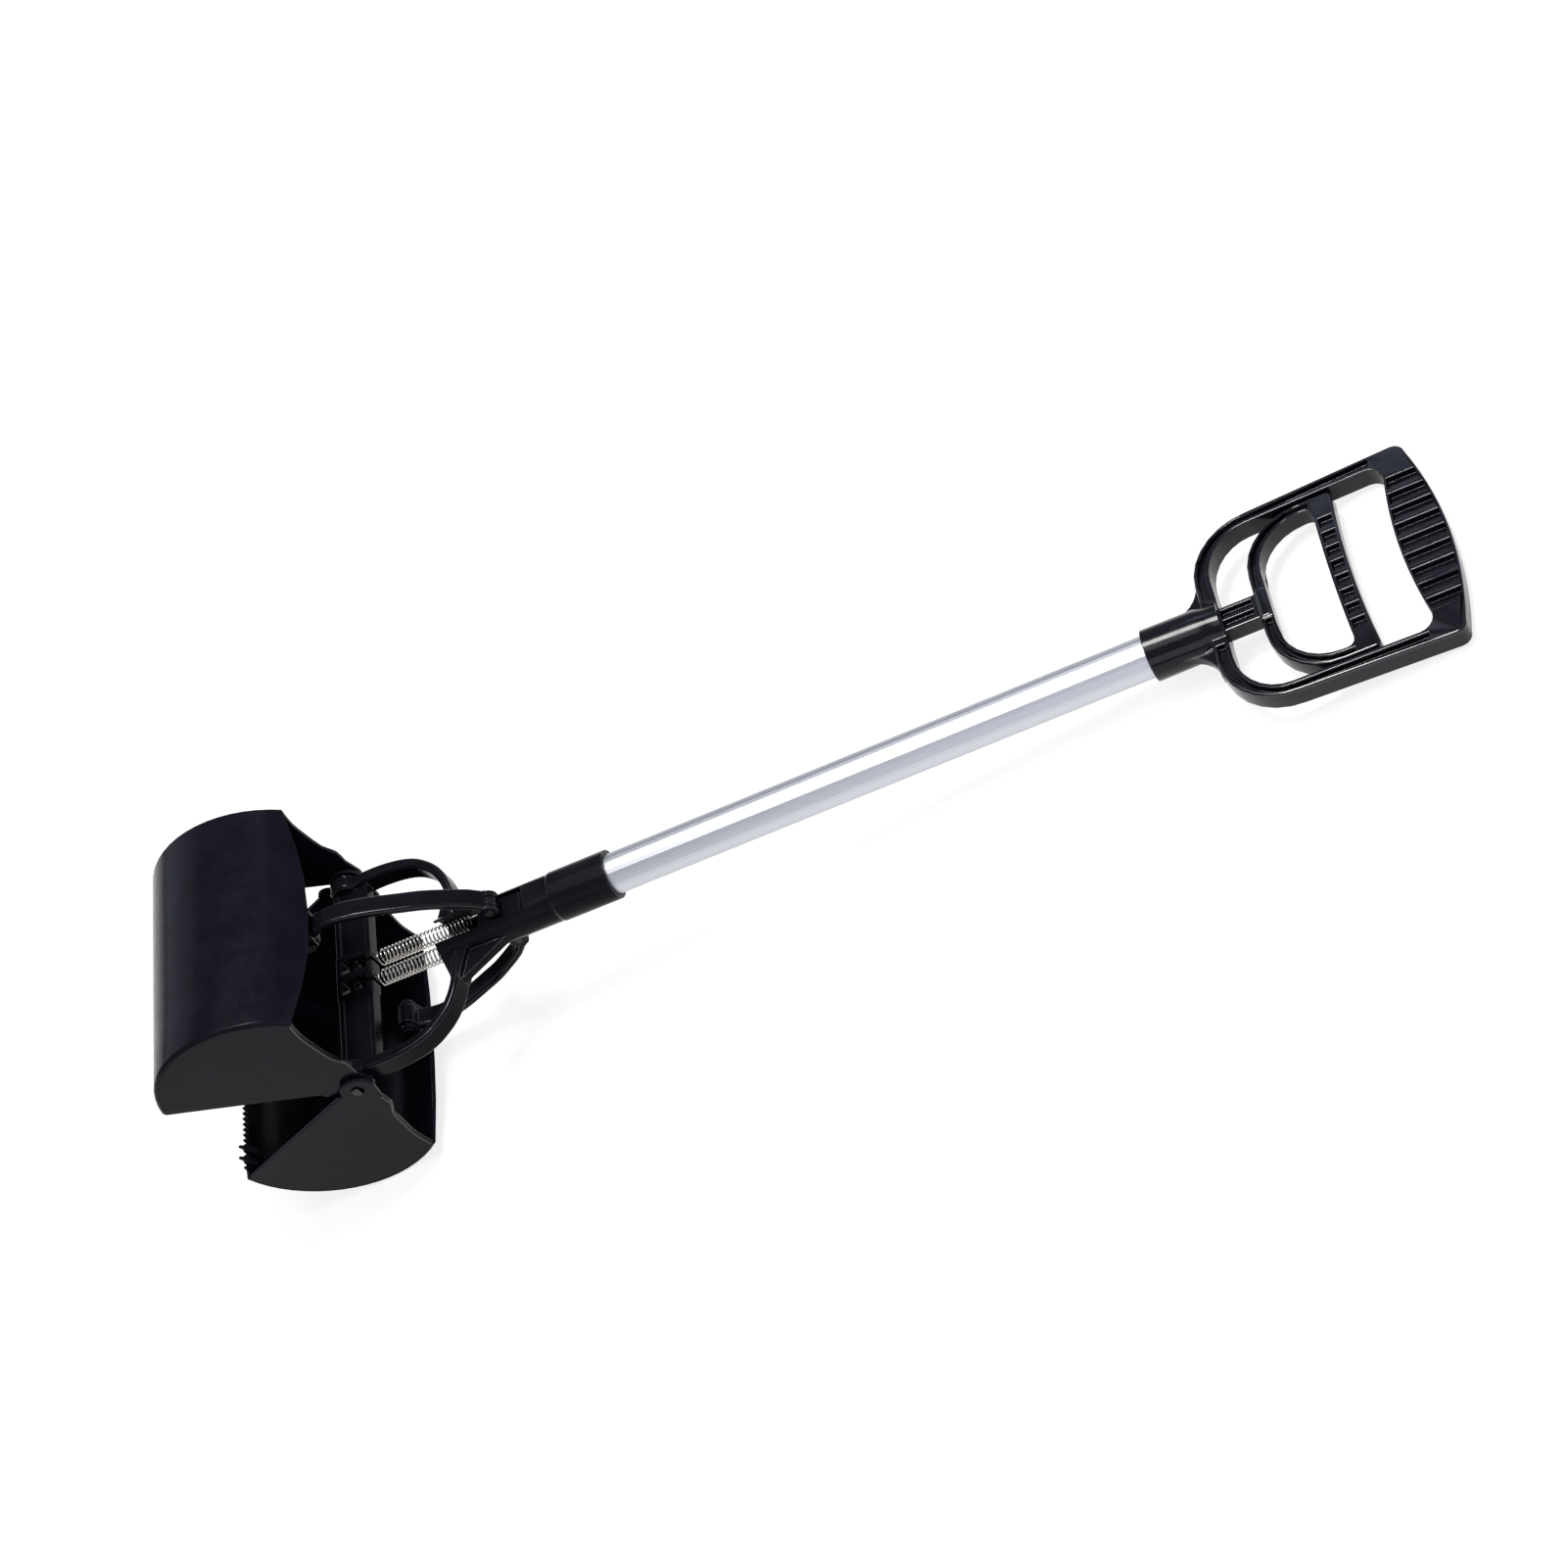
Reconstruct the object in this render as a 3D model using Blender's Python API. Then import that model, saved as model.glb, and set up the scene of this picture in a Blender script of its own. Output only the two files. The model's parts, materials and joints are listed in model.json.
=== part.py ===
"""A spring closed jaw scooper on a pole, with a D handle and a sliding trigger.

The tool frame has +X along the pole towards the handle, +Y along the hinge axis and +Z towards the
upper jaw. Its origin is the middle of the hinge axis. An empty tilts the tool until the lower jaw's back
and the grip both lie on the ground, and puts the world's origin under the middle of it.
"""

import math

import bmesh
import bpy
import numpy as np
from mathutils import Vector

mm = 0.001

# Gaps between neighbouring solids, how far cuts run past and joined shapes run in, and the step that
# keeps the faces of joined shapes out of one plane
seat_gap = 0.3 * mm
running_gap = 0.5 * mm
cut_overrun = 2 * mm
join_depth = 0.5 * mm
join_step = 0.05 * mm

# Pole
tube_diameter = 22 * mm
tube_wall = 1.2 * mm
tube_start = 128 * mm
tube_end = 484 * mm

# Yoke: socket, slotted neck, two arms and the crossbar on the hinge axis
socket_wall = 2.2 * mm
yoke_socket_end = 158.6 * mm
yoke_shoulder = 3 * mm
neck_start = 57 * mm
neck_diameter = 26 * mm
slot_half_width = 7 * mm
slot_end = 110 * mm
recess_end = 125 * mm
recess_depth = 1.1 * mm
arm_depth = 13 * mm
arm_neck_thickness = 4.4 * mm
arm_hinge_thickness = 7 * mm
arm_chamfer = 1.2 * mm
arm_foot_length = 16 * mm
arm_foot_reach = 17 * mm
gusset_length = 24 * mm
gusset_thickness = 5 * mm
crossbar_front = 6.5 * mm
crossbar_back = 14.5 * mm
crossbar_thickness = 5.5 * mm
crossbar_rim = 3 * mm
crossbar_rim_height = 0.8 * mm
anchor_block_half_width = 14 * mm
anchor_block_thickness = 8.5 * mm
anchor_window_end = 10.5 * mm
anchor_rib = 5 * mm
hinge_boss_radius = 9 * mm
hinge_boss_length = 8 * mm
hinge_boss_chamfer = 1.2 * mm
# Of the way from the hinge to the neck, and of the distance out to the hinge boss's middle
arm_shares = (
    (0.09, 1.0),
    (0.31, 1.01),
    (0.51, 0.99),
    (0.67, 0.94),
    (0.79, 0.855),
    (0.89, 0.742),
    (0.96, 0.595),
    (0.997, 0.42),
    (1.0, 0.2),
)

# Jaws: each is a curved back between two flat ends that turn on the hinge pins
jaw_half_width = 69.5 * mm
jaw_end_thickness = 2.2 * mm
jaw_end_gap = 0.6 * mm
jaw_back_thickness = 2.3 * mm
jaw_back_radius = 60.5 * mm
jaw_back_centre_reach = 41.5 * mm
jaw_back_centre_rise = 8.9 * mm
jaw_corner_radius = 1.8 * mm
jaw_opening = math.radians(22.3)
jaw_rear_angle = math.radians(71.1)
jaw_rear_bulge = 11.8 * mm
jaw_rear_lip = 0.6 * mm
jaw_ear_radius = 9.3 * mm
jaw_ear_start = math.radians(40)
jaw_ear_end = math.radians(-155)
# Of the rear corner's distance along and above the mouth, from the corner down to the ear
jaw_end_shares = ((0.863, 0.815), (0.639, 0.649), (0.347, 0.46), (0.043, 0.354), (-0.11, 0.211))
stop_reach = 15 * mm
stop_rise = 1.5 * mm
stop_radius = 5.5 * mm
tooth_pitch = 3.4 * mm
tooth_height = 2.5 * mm
tooth_phase_share = 0.25
tooth_margin = 3 * mm
fang_height = 7 * mm
fang_root = 5 * mm
fang_width = 3.4 * mm
fang_tip_width = 1.2 * mm
fang_thickness = 1.6 * mm
fang_places = (52 * mm, 59 * mm)
bracket_thickness = 2.5 * mm
bracket_eye_radius = 4.6 * mm
bracket_root_start = math.radians(61.5)
bracket_root_end = math.radians(84)
bracket_eye_start = math.radians(-145)

# Hinge pins and washers
hinge_pin_radius = 3.2 * mm
hinge_pin_depth = 7 * mm
hinge_pin_proud = 0.8 * mm
hinge_pin_flat = 1.4 * mm
hinge_pin_flat_length = 2.5 * mm
hinge_washer_thickness = 1.2 * mm
hinge_washer_radius = 7.5 * mm

# Crosshead, links and their pins
crosshead_start = 82 * mm
crosshead_end = 108 * mm
crosshead_radius = 10.6 * mm
crosshead_half_height = 8.8 * mm
link_pivot_x = 93 * mm
link_pivot_z = 15.5 * mm
jaw_pivot_x = 5 * mm
jaw_pivot_z = 48.5 * mm
link_eye_shift_x = -0.13 * mm
link_eye_shift_z = -0.69 * mm
link_width = 11 * mm
link_thickness = 4.5 * mm
link_rise = 15 * mm
link_chamfer = 0.9 * mm
link_eye_radius = 5.3 * mm
link_slack = 1.5 * mm
link_jaw_eye_wall = 2 * mm
link_pin_radius = 2 * mm
link_pin_head_radius = 3.3 * mm
link_pin_head_height = 1.2 * mm
lug_thickness = 3.8 * mm
lug_radius = 4.8 * mm
# Of the distance between the link's two eyes, and of its rise
link_shares = (
    (0.0, 0.15),
    (0.1, 0.5),
    (0.23, 0.72),
    (0.35, 0.88),
    (0.45, 0.93),
    (0.6, 1.0),
    (0.75, 1.0),
    (0.86, 0.86),
    (0.94, 0.55),
    (1.0, 0.1),
)

# Springs and what they hook on
spring_side = 6.5 * mm
spring_radius = 3.8 * mm
spring_wire = 0.9 * mm
spring_start = 18.5 * mm
spring_end = 73 * mm
spring_turns = 24
spring_points_per_turn = 8
spring_lead_bend = 1.6 * mm
spring_pin_radius = 1.5 * mm
spring_anchor_x = 4 * mm
spring_anchor_length = 25 * mm
spring_bar_x = 86.5 * mm
hook_radius = 2.6 * mm
hook_tail = 1.2 * mm
hook_slot_width = 2.6 * mm
hook_slot_length = 9 * mm
# Stretches of wire nearer than this along it count as neighbours
spring_neighbour_run = 3.6 * mm
# From a hook to its coil: back and out, of the lead's bend, and up, of the rise from hook to coil
hook_lead_shares = ((4, 0.1, 0.35), (2.6, 0.5, 0.8), (1.3, 0.55, 0.98), (0.45, 0.28, 1))

# Rod inside the pole
rod_radius = 2.5 * mm
rod_start = 99 * mm
rod_end = 468 * mm
nut_radius = 4.6 * mm
nut_length = 4 * mm
bush_length = 8 * mm
lower_bush_start = 134 * mm
upper_bush_start = 408 * mm

# Handle
handle_socket_depth = 27 * mm
handle_socket_wall = 2.2 * mm
handle_socket_taper = 0.3 * mm
handle_boss_setback = 0.6 * mm
handle_boss_radius = 12.1 * mm
handle_thickness = 12 * mm
handle_chamfer = 0.8 * mm
handle_front_gap = 4.4 * mm
handle_front_rail = 8.3 * mm
handle_front_flat = 24.6 * mm
handle_corner_length = 34 * mm
handle_half_width = 60.5 * mm
handle_shoulder_draft = 3 * mm
handle_side_rail = 8.6 * mm
handle_inner_corner_length = 24 * mm
handle_inner_shoulder_draft = 1.2 * mm
handle_length = 123.6 * mm
grip_crown = 9 * mm
grip_corner_radius = 6 * mm
grip_depth = 25 * mm
grip_end_depth = 29 * mm
grip_front_crown = 4 * mm
grip_inner_radius = 8 * mm
grip_pockets = 9
grip_pocket_pitch = 9.7 * mm
grip_pocket_width = 6.5 * mm
grip_pocket_depth = 3.8 * mm
grip_rim = 1.3 * mm
rail_rim = 2.1 * mm
rail_groove_depth = 3.6 * mm
rail_groove_start = 15 * mm
rail_groove_run = 3.5 * mm
web_length = 16.4 * mm
web_reach = 31 * mm
web_thickness = 5 * mm

# Trigger
trigger_front_gap = 17.9 * mm
trigger_front_rail = 6.6 * mm
trigger_front_flat = 18 * mm
trigger_corner_length = 32 * mm
trigger_side_gap = 2.2 * mm
trigger_side_rail = 6 * mm
trigger_inner_corner_length = 26 * mm
trigger_length = 47.8 * mm
trigger_dish = 2.4 * mm
trigger_bar = 9.9 * mm
trigger_bar_dish = 1 * mm
trigger_end_radius = 3 * mm
trigger_inner_radius = 4 * mm
trigger_thickness = 10.6 * mm
trigger_chamfer = 0.7 * mm
trigger_pockets = 8
trigger_pocket_pitch = 9.3 * mm
trigger_pocket_width = 5.8 * mm
trigger_rim = 1.8 * mm
trigger_groove_start = 10 * mm
stem_start = 456.5 * mm
stem_half_width = 7.5 * mm
stem_half_height = 4.8 * mm
stem_web = 3.4 * mm
stem_rim = 2.1 * mm
stem_rib = 1.8 * mm
stem_groove_start = 473 * mm
collar_length = 6 * mm
collar_half_width = 9 * mm
collar_half_height = 5.9 * mm

# Screws that hold the pole
screw_radius = 1.75 * mm
screw_head_radius = 3.5 * mm
screw_head_height = 1.6 * mm
screw_setback = 12 * mm

# How finely round shapes are cut
pin_sides = 16
eye_sides = 20
socket_sides = 32
jaw_arc_steps = 18
jaw_width_steps = 6
jaw_corner_steps = 3
corner_steps = 7
nut_sides = 6

# Sizes that follow from the ones above
tube_radius = tube_diameter / 2
tube_bore = tube_radius - tube_wall
socket_bore = tube_radius + seat_gap
socket_radius = socket_bore + socket_wall
shoulder_end = tube_start - seat_gap
handle_socket_start = tube_end - handle_socket_depth
handle_socket_end = tube_end + seat_gap
handle_socket_radius = socket_bore + handle_socket_wall
inner_face = jaw_half_width - jaw_end_thickness - jaw_end_gap
hinge_boss_end = inner_face - jaw_end_thickness - hinge_washer_thickness - 2 * seat_gap
jaw_pivot = (jaw_pivot_x, jaw_pivot_z)
link_pivot = (link_pivot_x, link_pivot_z)
link_eye = (jaw_pivot_x + link_eye_shift_x, jaw_pivot_z + link_eye_shift_z)
link_eye_hole = link_pin_radius + link_slack
link_jaw_eye_radius = link_eye_hole + link_jaw_eye_wall
bracket_inner_face = link_width / 2 + running_gap
handle_front = tube_end + handle_front_gap
handle_boss_start = handle_front + handle_boss_setback
handle_inner_front = handle_front + handle_front_rail
handle_back = handle_front + handle_length
handle_inner_end = handle_back - grip_end_depth
grip_front = handle_back - grip_depth
web_start = handle_front - web_length
handle_shoulder = handle_half_width - handle_shoulder_draft
handle_inner_half_width = handle_half_width - handle_side_rail
handle_inner_shoulder = handle_inner_half_width - handle_inner_shoulder_draft
trigger_half_width = handle_inner_half_width - trigger_side_gap
trigger_front = handle_inner_front + trigger_front_gap
trigger_inner_front = trigger_front + trigger_front_rail
trigger_back = trigger_front + trigger_length
trigger_inner_half_width = trigger_half_width - trigger_side_rail


# Materials
def plastic(name, colour, roughness):
    material = bpy.data.materials.new(name)
    material.use_nodes = True
    shader = material.node_tree.nodes["Principled BSDF"]
    shader.inputs["Base Color"].default_value = (*colour, 1)
    shader.inputs["Roughness"].default_value = roughness
    material.diffuse_color = (*colour, 1)
    return material


def metal(name, colour, roughness):
    material = plastic(name, colour, roughness)
    material.node_tree.nodes["Principled BSDF"].inputs["Metallic"].default_value = 1
    return material


# Outlines, as lists of points in the plane
def ellipse(centre, radii, start, end, steps):
    """Points on an ellipse from one angle to another, both included."""
    angles = np.linspace(start, end, steps + 1)
    return [(centre[0] + radii[0] * math.cos(a), centre[1] + radii[1] * math.sin(a)) for a in angles]


def arc(centre, radius, start, end, steps):
    return ellipse(centre, (radius, radius), start, end, steps)


def flipped(points):
    return [(x, -y) for x, y in points]


def mirrored(points):
    """The outline, then its reflection in the first axis, going on round to close it."""
    return points + [(x, -y) for x, y in reversed(points) if y != 0]


def smooth_path(points, steps):
    """Points on a Catmull-Rom curve through the given ones."""
    known = [Vector(point) for point in points]
    known = [2 * known[0] - known[1], *known, 2 * known[-1] - known[-2]]
    path = []
    for index in range(1, len(known) - 2):
        before, first, second, after = known[index - 1 : index + 3]
        for step in range(steps):
            t = step / steps
            line = 2 * first + (second - before) * t
            bend = (2 * before - 5 * first + 4 * second - after) * t**2
            twist = (3 * first - before - 3 * second + after) * t**3
            path.append(tuple((line + bend + twist) / 2))
    return path + [tuple(known[-2])]


def ribbon(path, start_thickness, end_thickness):
    """The outline of a band along a path, whose thickness changes evenly."""
    left, right = [], []
    for index, point in enumerate(path):
        before, after = path[max(index - 1, 0)], path[min(index + 1, len(path) - 1)]
        along = (Vector(after) - Vector(before)).normalized()
        share = index / (len(path) - 1)
        half = (start_thickness * (1 - share) + end_thickness * share) / 2
        side = Vector((-along.y, along.x)) * half
        left.append(tuple(Vector(point) + side))
        right.append(tuple(Vector(point) - side))
    return left + right[::-1]


# Solids
def solid(name, mesh, material, parent):
    """A named object that holds the mesh, shaded smooth but for its sharp edges."""
    bmesh.ops.recalc_face_normals(mesh, faces=mesh.faces)
    data = bpy.data.meshes.new(name)
    mesh.to_mesh(data)
    mesh.free()
    data.shade_smooth()
    data.set_sharp_from_angle(angle=math.radians(35))
    item = bpy.data.objects.new(name, data)
    bpy.context.scene.collection.objects.link(item)
    if material:
        data.materials.append(material)
    item.parent = parent
    return item


def prism(points, low, high, axis="z", chamfer=0):
    """An outline given an even thickness along an axis; its points are the other two coordinates."""
    mesh = bmesh.new()

    def place(point, level):
        if axis == "z":
            return (point[0], point[1], level)
        if axis == "y":
            return (point[0], level, point[1])
        return (level, point[0], point[1])

    bottom = [mesh.verts.new(place(point, low)) for point in points]
    top = [mesh.verts.new(place(point, high)) for point in points]
    caps = [mesh.faces.new(bottom), mesh.faces.new(top[::-1])]
    for index in range(len(points)):
        after = (index + 1) % len(points)
        mesh.faces.new((bottom[index], top[index], top[after], bottom[after]))
    if chamfer:
        edges = [edge for cap in caps for edge in cap.edges]
        bmesh.ops.recalc_face_normals(mesh, faces=mesh.faces)
        bmesh.ops.bevel(mesh, geom=edges, offset=chamfer, segments=1, affect="EDGES", clamp_overlap=True)
    return mesh


def block(low, high, chamfer=0):
    """A box between two corners."""
    outline = [(low[0], low[1]), (high[0], low[1]), (high[0], high[1]), (low[0], high[1])]
    return prism(outline, low[2], high[2], "z", chamfer)


def round_bar(centre, radius, start, end, axis, sides=pin_sides, chamfer=0):
    """A cylinder along the axis, whose two other coordinates are the centre."""
    outline = arc(centre, radius, 0, math.tau * (sides - 1) / sides, sides - 1)
    return prism(outline, min(start, end), max(start, end), axis, chamfer)


def turned(profile, sides=socket_sides):
    """A closed profile of (x, radius) points turned about the pole's axis."""
    mesh = bmesh.new()
    rings = []
    for step in range(sides):
        angle = math.tau * step / sides
        ring = [(x, radius * math.cos(angle), radius * math.sin(angle)) for x, radius in profile]
        rings.append([mesh.verts.new(point) for point in ring])
    for step in range(sides):
        first, second = rings[step], rings[(step + 1) % sides]
        for index in range(len(profile)):
            after = (index + 1) % len(profile)
            mesh.faces.new((first[index], first[after], second[after], second[index]))
    return mesh


def combine(item, meshes, operation):
    """Adds a Boolean modifier for each mesh, which becomes a hidden helper."""
    for mesh in meshes:
        name = f"{item.name}.{operation.lower()}.{len(item.modifiers)}"
        helper = solid(name, mesh, None, item.parent)
        helper.hide_render = True
        helper.hide_viewport = True
        helper.display_type = "WIRE"
        modifier = item.modifiers.new(helper.name, "BOOLEAN")
        modifier.object = helper
        modifier.operation = operation
        modifier.solver = "EXACT"
    return item


def join(item, *meshes):
    return combine(item, meshes, "UNION")


def cut(item, *meshes):
    return combine(item, meshes, "DIFFERENCE")


# Pole and what is inside it
def screw_hole(x):
    radius = screw_radius + seat_gap
    return round_bar((x, 0), radius, -socket_radius - cut_overrun, -tube_bore + cut_overrun, "z")


def screw_places():
    return {
        "yoke_screw": (yoke_socket_end - screw_setback, socket_radius),
        "handle_screw": (handle_socket_start + screw_setback, handle_socket_radius),
    }


def make_pole(tool, look):
    profile = [
        (tube_start, tube_radius),
        (tube_end, tube_radius),
        (tube_end, tube_bore),
        (tube_start, tube_bore),
    ]
    pole = solid("pole_tube", turned(profile), look["aluminium"], tool)
    cut(pole, *(screw_hole(x) for x, _ in screw_places().values()))


def make_bushes(tool, look):
    outer, inner = tube_bore - seat_gap, rod_radius + running_gap
    for name, start in (("rod_bush_lower", lower_bush_start), ("rod_bush_upper", upper_bush_start)):
        end = start + bush_length
        ring = [(start, outer), (end, outer), (end, inner), (start, inner)]
        solid(name, turned(ring), look["white plastic"], tool)


def make_screws(tool, look):
    """One self tapping screw through each socket into the pole, on the lower side."""
    for name, (x, radius) in screw_places().items():
        seat = -radius - seat_gap
        shank = round_bar((x, 0), screw_radius, seat - join_depth, -tube_bore, "z")
        top = seat - screw_head_height
        head = round_bar((x, 0), screw_head_radius, top, seat, "z", pin_sides, join_depth)
        join(solid(name, shank, look["steel"], tool), head)


# Yoke
def yoke_tube():
    """The neck and socket, turned about the pole's axis, with a shoulder that the pole stops at."""
    neck_radius = neck_diameter / 2
    shoulder_start = shoulder_end - yoke_shoulder
    return turned(
        [
            (neck_start, neck_radius),
            (recess_end, neck_radius),
            (recess_end + join_depth, socket_radius),
            (yoke_socket_end, socket_radius),
            (yoke_socket_end, socket_bore),
            (shoulder_end, socket_bore),
            (shoulder_end, tube_bore),
            (shoulder_start, tube_bore),
            (shoulder_start, socket_bore),
            (neck_start, socket_bore),
        ]
    )


def yoke_arm(side):
    """One curved arm with its foot and gusset on the neck, and the boss at its hinge end."""
    reach = neck_start + arm_foot_length / 2
    boss_middle = hinge_boss_end - hinge_boss_length / 2
    path = smooth_path([(reach * along, boss_middle * across) for along, across in arm_shares], 3)
    band = ribbon(path, arm_hinge_thickness, arm_neck_thickness)
    wall = socket_bore + join_depth
    foot = [
        (neck_start, wall),
        (neck_start + arm_foot_length, wall),
        (reach + arm_neck_thickness / 2, wall + arm_foot_reach),
        (reach - arm_neck_thickness / 2, wall + arm_foot_reach),
    ]
    gusset = [
        (reach, wall),
        (neck_start + arm_foot_length + gusset_length, wall),
        (reach + arm_neck_thickness / 2, wall + arm_foot_reach),
        (reach, wall + arm_foot_reach),
    ]
    if side < 0:
        band, foot, gusset = flipped(band), flipped(foot), flipped(gusset)
    ends = (side * (hinge_boss_end - hinge_boss_length), side * hinge_boss_end)
    return [
        prism(band, -arm_depth / 2, arm_depth / 2, "z", arm_chamfer),
        prism(foot, -arm_depth / 2 + arm_chamfer / 2, arm_depth / 2 - arm_chamfer / 2),
        prism(gusset, -gusset_thickness / 2, gusset_thickness / 2),
        round_bar((0, 0), hinge_boss_radius, *ends, "y", eye_sides, hinge_boss_chamfer),
    ]


def crossbar():
    """The bar on the hinge axis with raised edges, and the block that the springs are anchored in."""
    half = crossbar_thickness / 2
    high = half + crossbar_rim_height
    end = hinge_boss_end - hinge_boss_length / 2
    half_block = anchor_block_thickness / 2
    bar = block((-crossbar_front, -end, -half), (crossbar_back, end, half))
    front_rim = block((-crossbar_front, -end, -high), (-crossbar_front + crossbar_rim, end, high))
    back_rim = block((crossbar_back - crossbar_rim, -end, -high), (crossbar_back, end, high))
    anchor = block(
        (-crossbar_front - join_depth, -anchor_block_half_width, -half_block),
        (crossbar_back + join_depth, anchor_block_half_width, half_block),
        join_depth,
    )
    return [bar, front_rim, back_rim, anchor]


def yoke_cuts():
    reach = neck_diameter / 2 + cut_overrun
    floor = neck_diameter / 2 - recess_depth
    slot = block((neck_start - cut_overrun, -slot_half_width, -reach), (slot_end, slot_half_width, reach))
    recesses = [
        block((slot_end - cut_overrun, -slot_half_width, low), (recess_end, slot_half_width, high))
        for low, high in ((floor, reach), (-reach, -floor))
    ]
    window_end = crossbar_back - crossbar_rim
    window_sides = ((anchor_rib / 2, anchor_window_end), (-anchor_window_end, -anchor_rib / 2))
    windows = [
        block((crossbar_rim - crossbar_front, low, -reach), (window_end, high, reach))
        for low, high in window_sides
    ]
    half_slot = hook_slot_width / 2
    notches = [
        block(
            (window_end - cut_overrun, side * spring_side - half_slot, -reach),
            (crossbar_back + cut_overrun, side * spring_side + half_slot, reach),
        )
        for side in (1, -1)
    ]
    half_length = spring_anchor_length / 2 + seat_gap
    radius = spring_pin_radius + seat_gap
    anchor_hole = round_bar((spring_anchor_x, 0), radius, -half_length, half_length, "y")
    pin_hole_start = hinge_boss_end - hinge_pin_depth - seat_gap
    pin_holes = [
        round_bar((0, 0), hinge_pin_radius + seat_gap, side * pin_hole_start, side * jaw_half_width, "y")
        for side in (1, -1)
    ]
    return [slot, *recesses, *windows, *notches, anchor_hole, *pin_holes]


def make_yoke(tool, look):
    yoke = solid("yoke", yoke_tube(), look["black plastic"], tool)
    join(yoke, *yoke_arm(1), *yoke_arm(-1), *crossbar())
    cut(yoke, *yoke_cuts(), screw_hole(screw_places()["yoke_screw"][0]))


def make_hinge_pins(tool, look):
    """Pins pressed into the yoke's bosses, with a flat on the end that shows, and their washers."""
    start = hinge_boss_end - hinge_pin_depth
    end = jaw_half_width + hinge_pin_proud
    for side, name in ((1, "left"), (-1, "right")):
        bar = round_bar((0, 0), hinge_pin_radius, side * start, side * end, "y", pin_sides)
        pin = solid(f"hinge_pin_{name}", bar, look["steel"], tool)
        across = 2 * hinge_pin_radius
        flat_ends = sorted((side * (end - hinge_pin_flat_length), side * (end + cut_overrun)))
        cut(pin, block((hinge_pin_flat, flat_ends[0], -across), (across, flat_ends[1], across)))

        low = hinge_boss_end + seat_gap
        high = low + hinge_washer_thickness
        ring = round_bar((0, 0), hinge_washer_radius, side * low, side * high, "y", eye_sides)
        washer = solid(f"hinge_washer_{name}", ring, look["black plastic"], tool)
        cut(washer, round_bar((0, 0), hinge_pin_radius + seat_gap, 0, side * jaw_half_width, "y"))


# Jaws, modelled shut with the mouth facing down and turned open afterwards
def jaw_centre():
    return (-jaw_back_centre_reach, jaw_back_centre_rise)


def mouth_angle(radius):
    """Where a circle about the back's centre meets the mouth, as an angle from +X towards +Z."""
    return math.pi + math.asin(jaw_back_centre_rise / radius)


def jaw_back():
    """The curved back as one closed shell, rounded off where it meets the two ends."""
    low, high = join_step - inner_face, jaw_half_width - join_step
    quarter = np.linspace(0, math.pi / 2, jaw_corner_steps + 1)
    rounding = [jaw_corner_radius * (1 - math.cos(angle)) for angle in quarter]
    middle = np.linspace(low + jaw_corner_radius, high - jaw_corner_radius, jaw_width_steps + 1)[1:-1]
    stations = [low + d for d in rounding] + list(middle) + [high - d for d in reversed(rounding)]
    mesh = bmesh.new()
    loops = []
    for y in stations:
        inset = max(jaw_corner_radius - (y - low), jaw_corner_radius - (high - y), 0)
        outer = jaw_back_radius - jaw_corner_radius + math.sqrt(jaw_corner_radius**2 - inset**2)
        inner = jaw_back_radius - jaw_back_thickness
        bulge = jaw_rear_bulge * max(1 - (y / inner_face) ** 2, 0) / jaw_back_radius
        rear = jaw_rear_angle - bulge
        points = arc(jaw_centre(), outer, mouth_angle(outer), rear, jaw_arc_steps)
        points += arc(jaw_centre(), inner, rear, mouth_angle(inner), jaw_arc_steps)
        loops.append([mesh.verts.new((x, y, z)) for x, z in points])
    count = len(loops[0])
    for first, second in zip(loops, loops[1:]):
        for index in range(count):
            after = (index + 1) % count
            mesh.faces.new((first[index], first[after], second[after], second[index]))
    for loop in (loops[0], loops[-1]):
        for index in range(jaw_arc_steps):
            far = count - 1 - index
            mesh.faces.new((loop[index], loop[index + 1], loop[far - 1], loop[far]))
    return mesh


def jaw_end_outline():
    """One flat end: the back's curve, the rear edge down to the ear, round it and along the mouth."""
    radius = jaw_back_radius - (jaw_corner_radius + jaw_back_thickness) / 2
    tip = math.pi + math.asin((jaw_back_centre_rise - join_step) / radius)
    curve = arc(jaw_centre(), radius, tip, jaw_rear_angle - jaw_rear_lip / radius, jaw_arc_steps)
    corner = curve[-1]
    edge = smooth_path([corner] + [(corner[0] * u, corner[1] * v) for u, v in jaw_end_shares], 2)
    ear = arc((0, 0), jaw_ear_radius, jaw_ear_start, jaw_ear_end, eye_sides // 2)
    return curve + edge[1:] + ear


def jaw_teeth():
    """A band of pointed teeth along the mouth, set so that two jaws' teeth pass between each other."""
    edge = inner_face - jaw_end_thickness - tooth_margin / 2
    count = int((2 * edge) / tooth_pitch)
    first = (tooth_phase_share - count // 2) * tooth_pitch
    saw = []
    for index in range(count):
        y = first + index * tooth_pitch
        saw += [(y - tooth_pitch / 2, join_step), (y, -tooth_height)]
    saw.append((first + (count - 0.5) * tooth_pitch, join_step))
    root = join_depth * 2
    band = [(y, z) for y, z in saw] + [(saw[-1][0], root), (saw[0][0], root)]
    outer = jaw_back_centre_reach + math.sqrt(jaw_back_radius**2 - jaw_back_centre_rise**2)
    skin = join_depth / 4
    return prism(band, skin - outer, jaw_back_thickness - skin - outer, "x")


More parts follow.
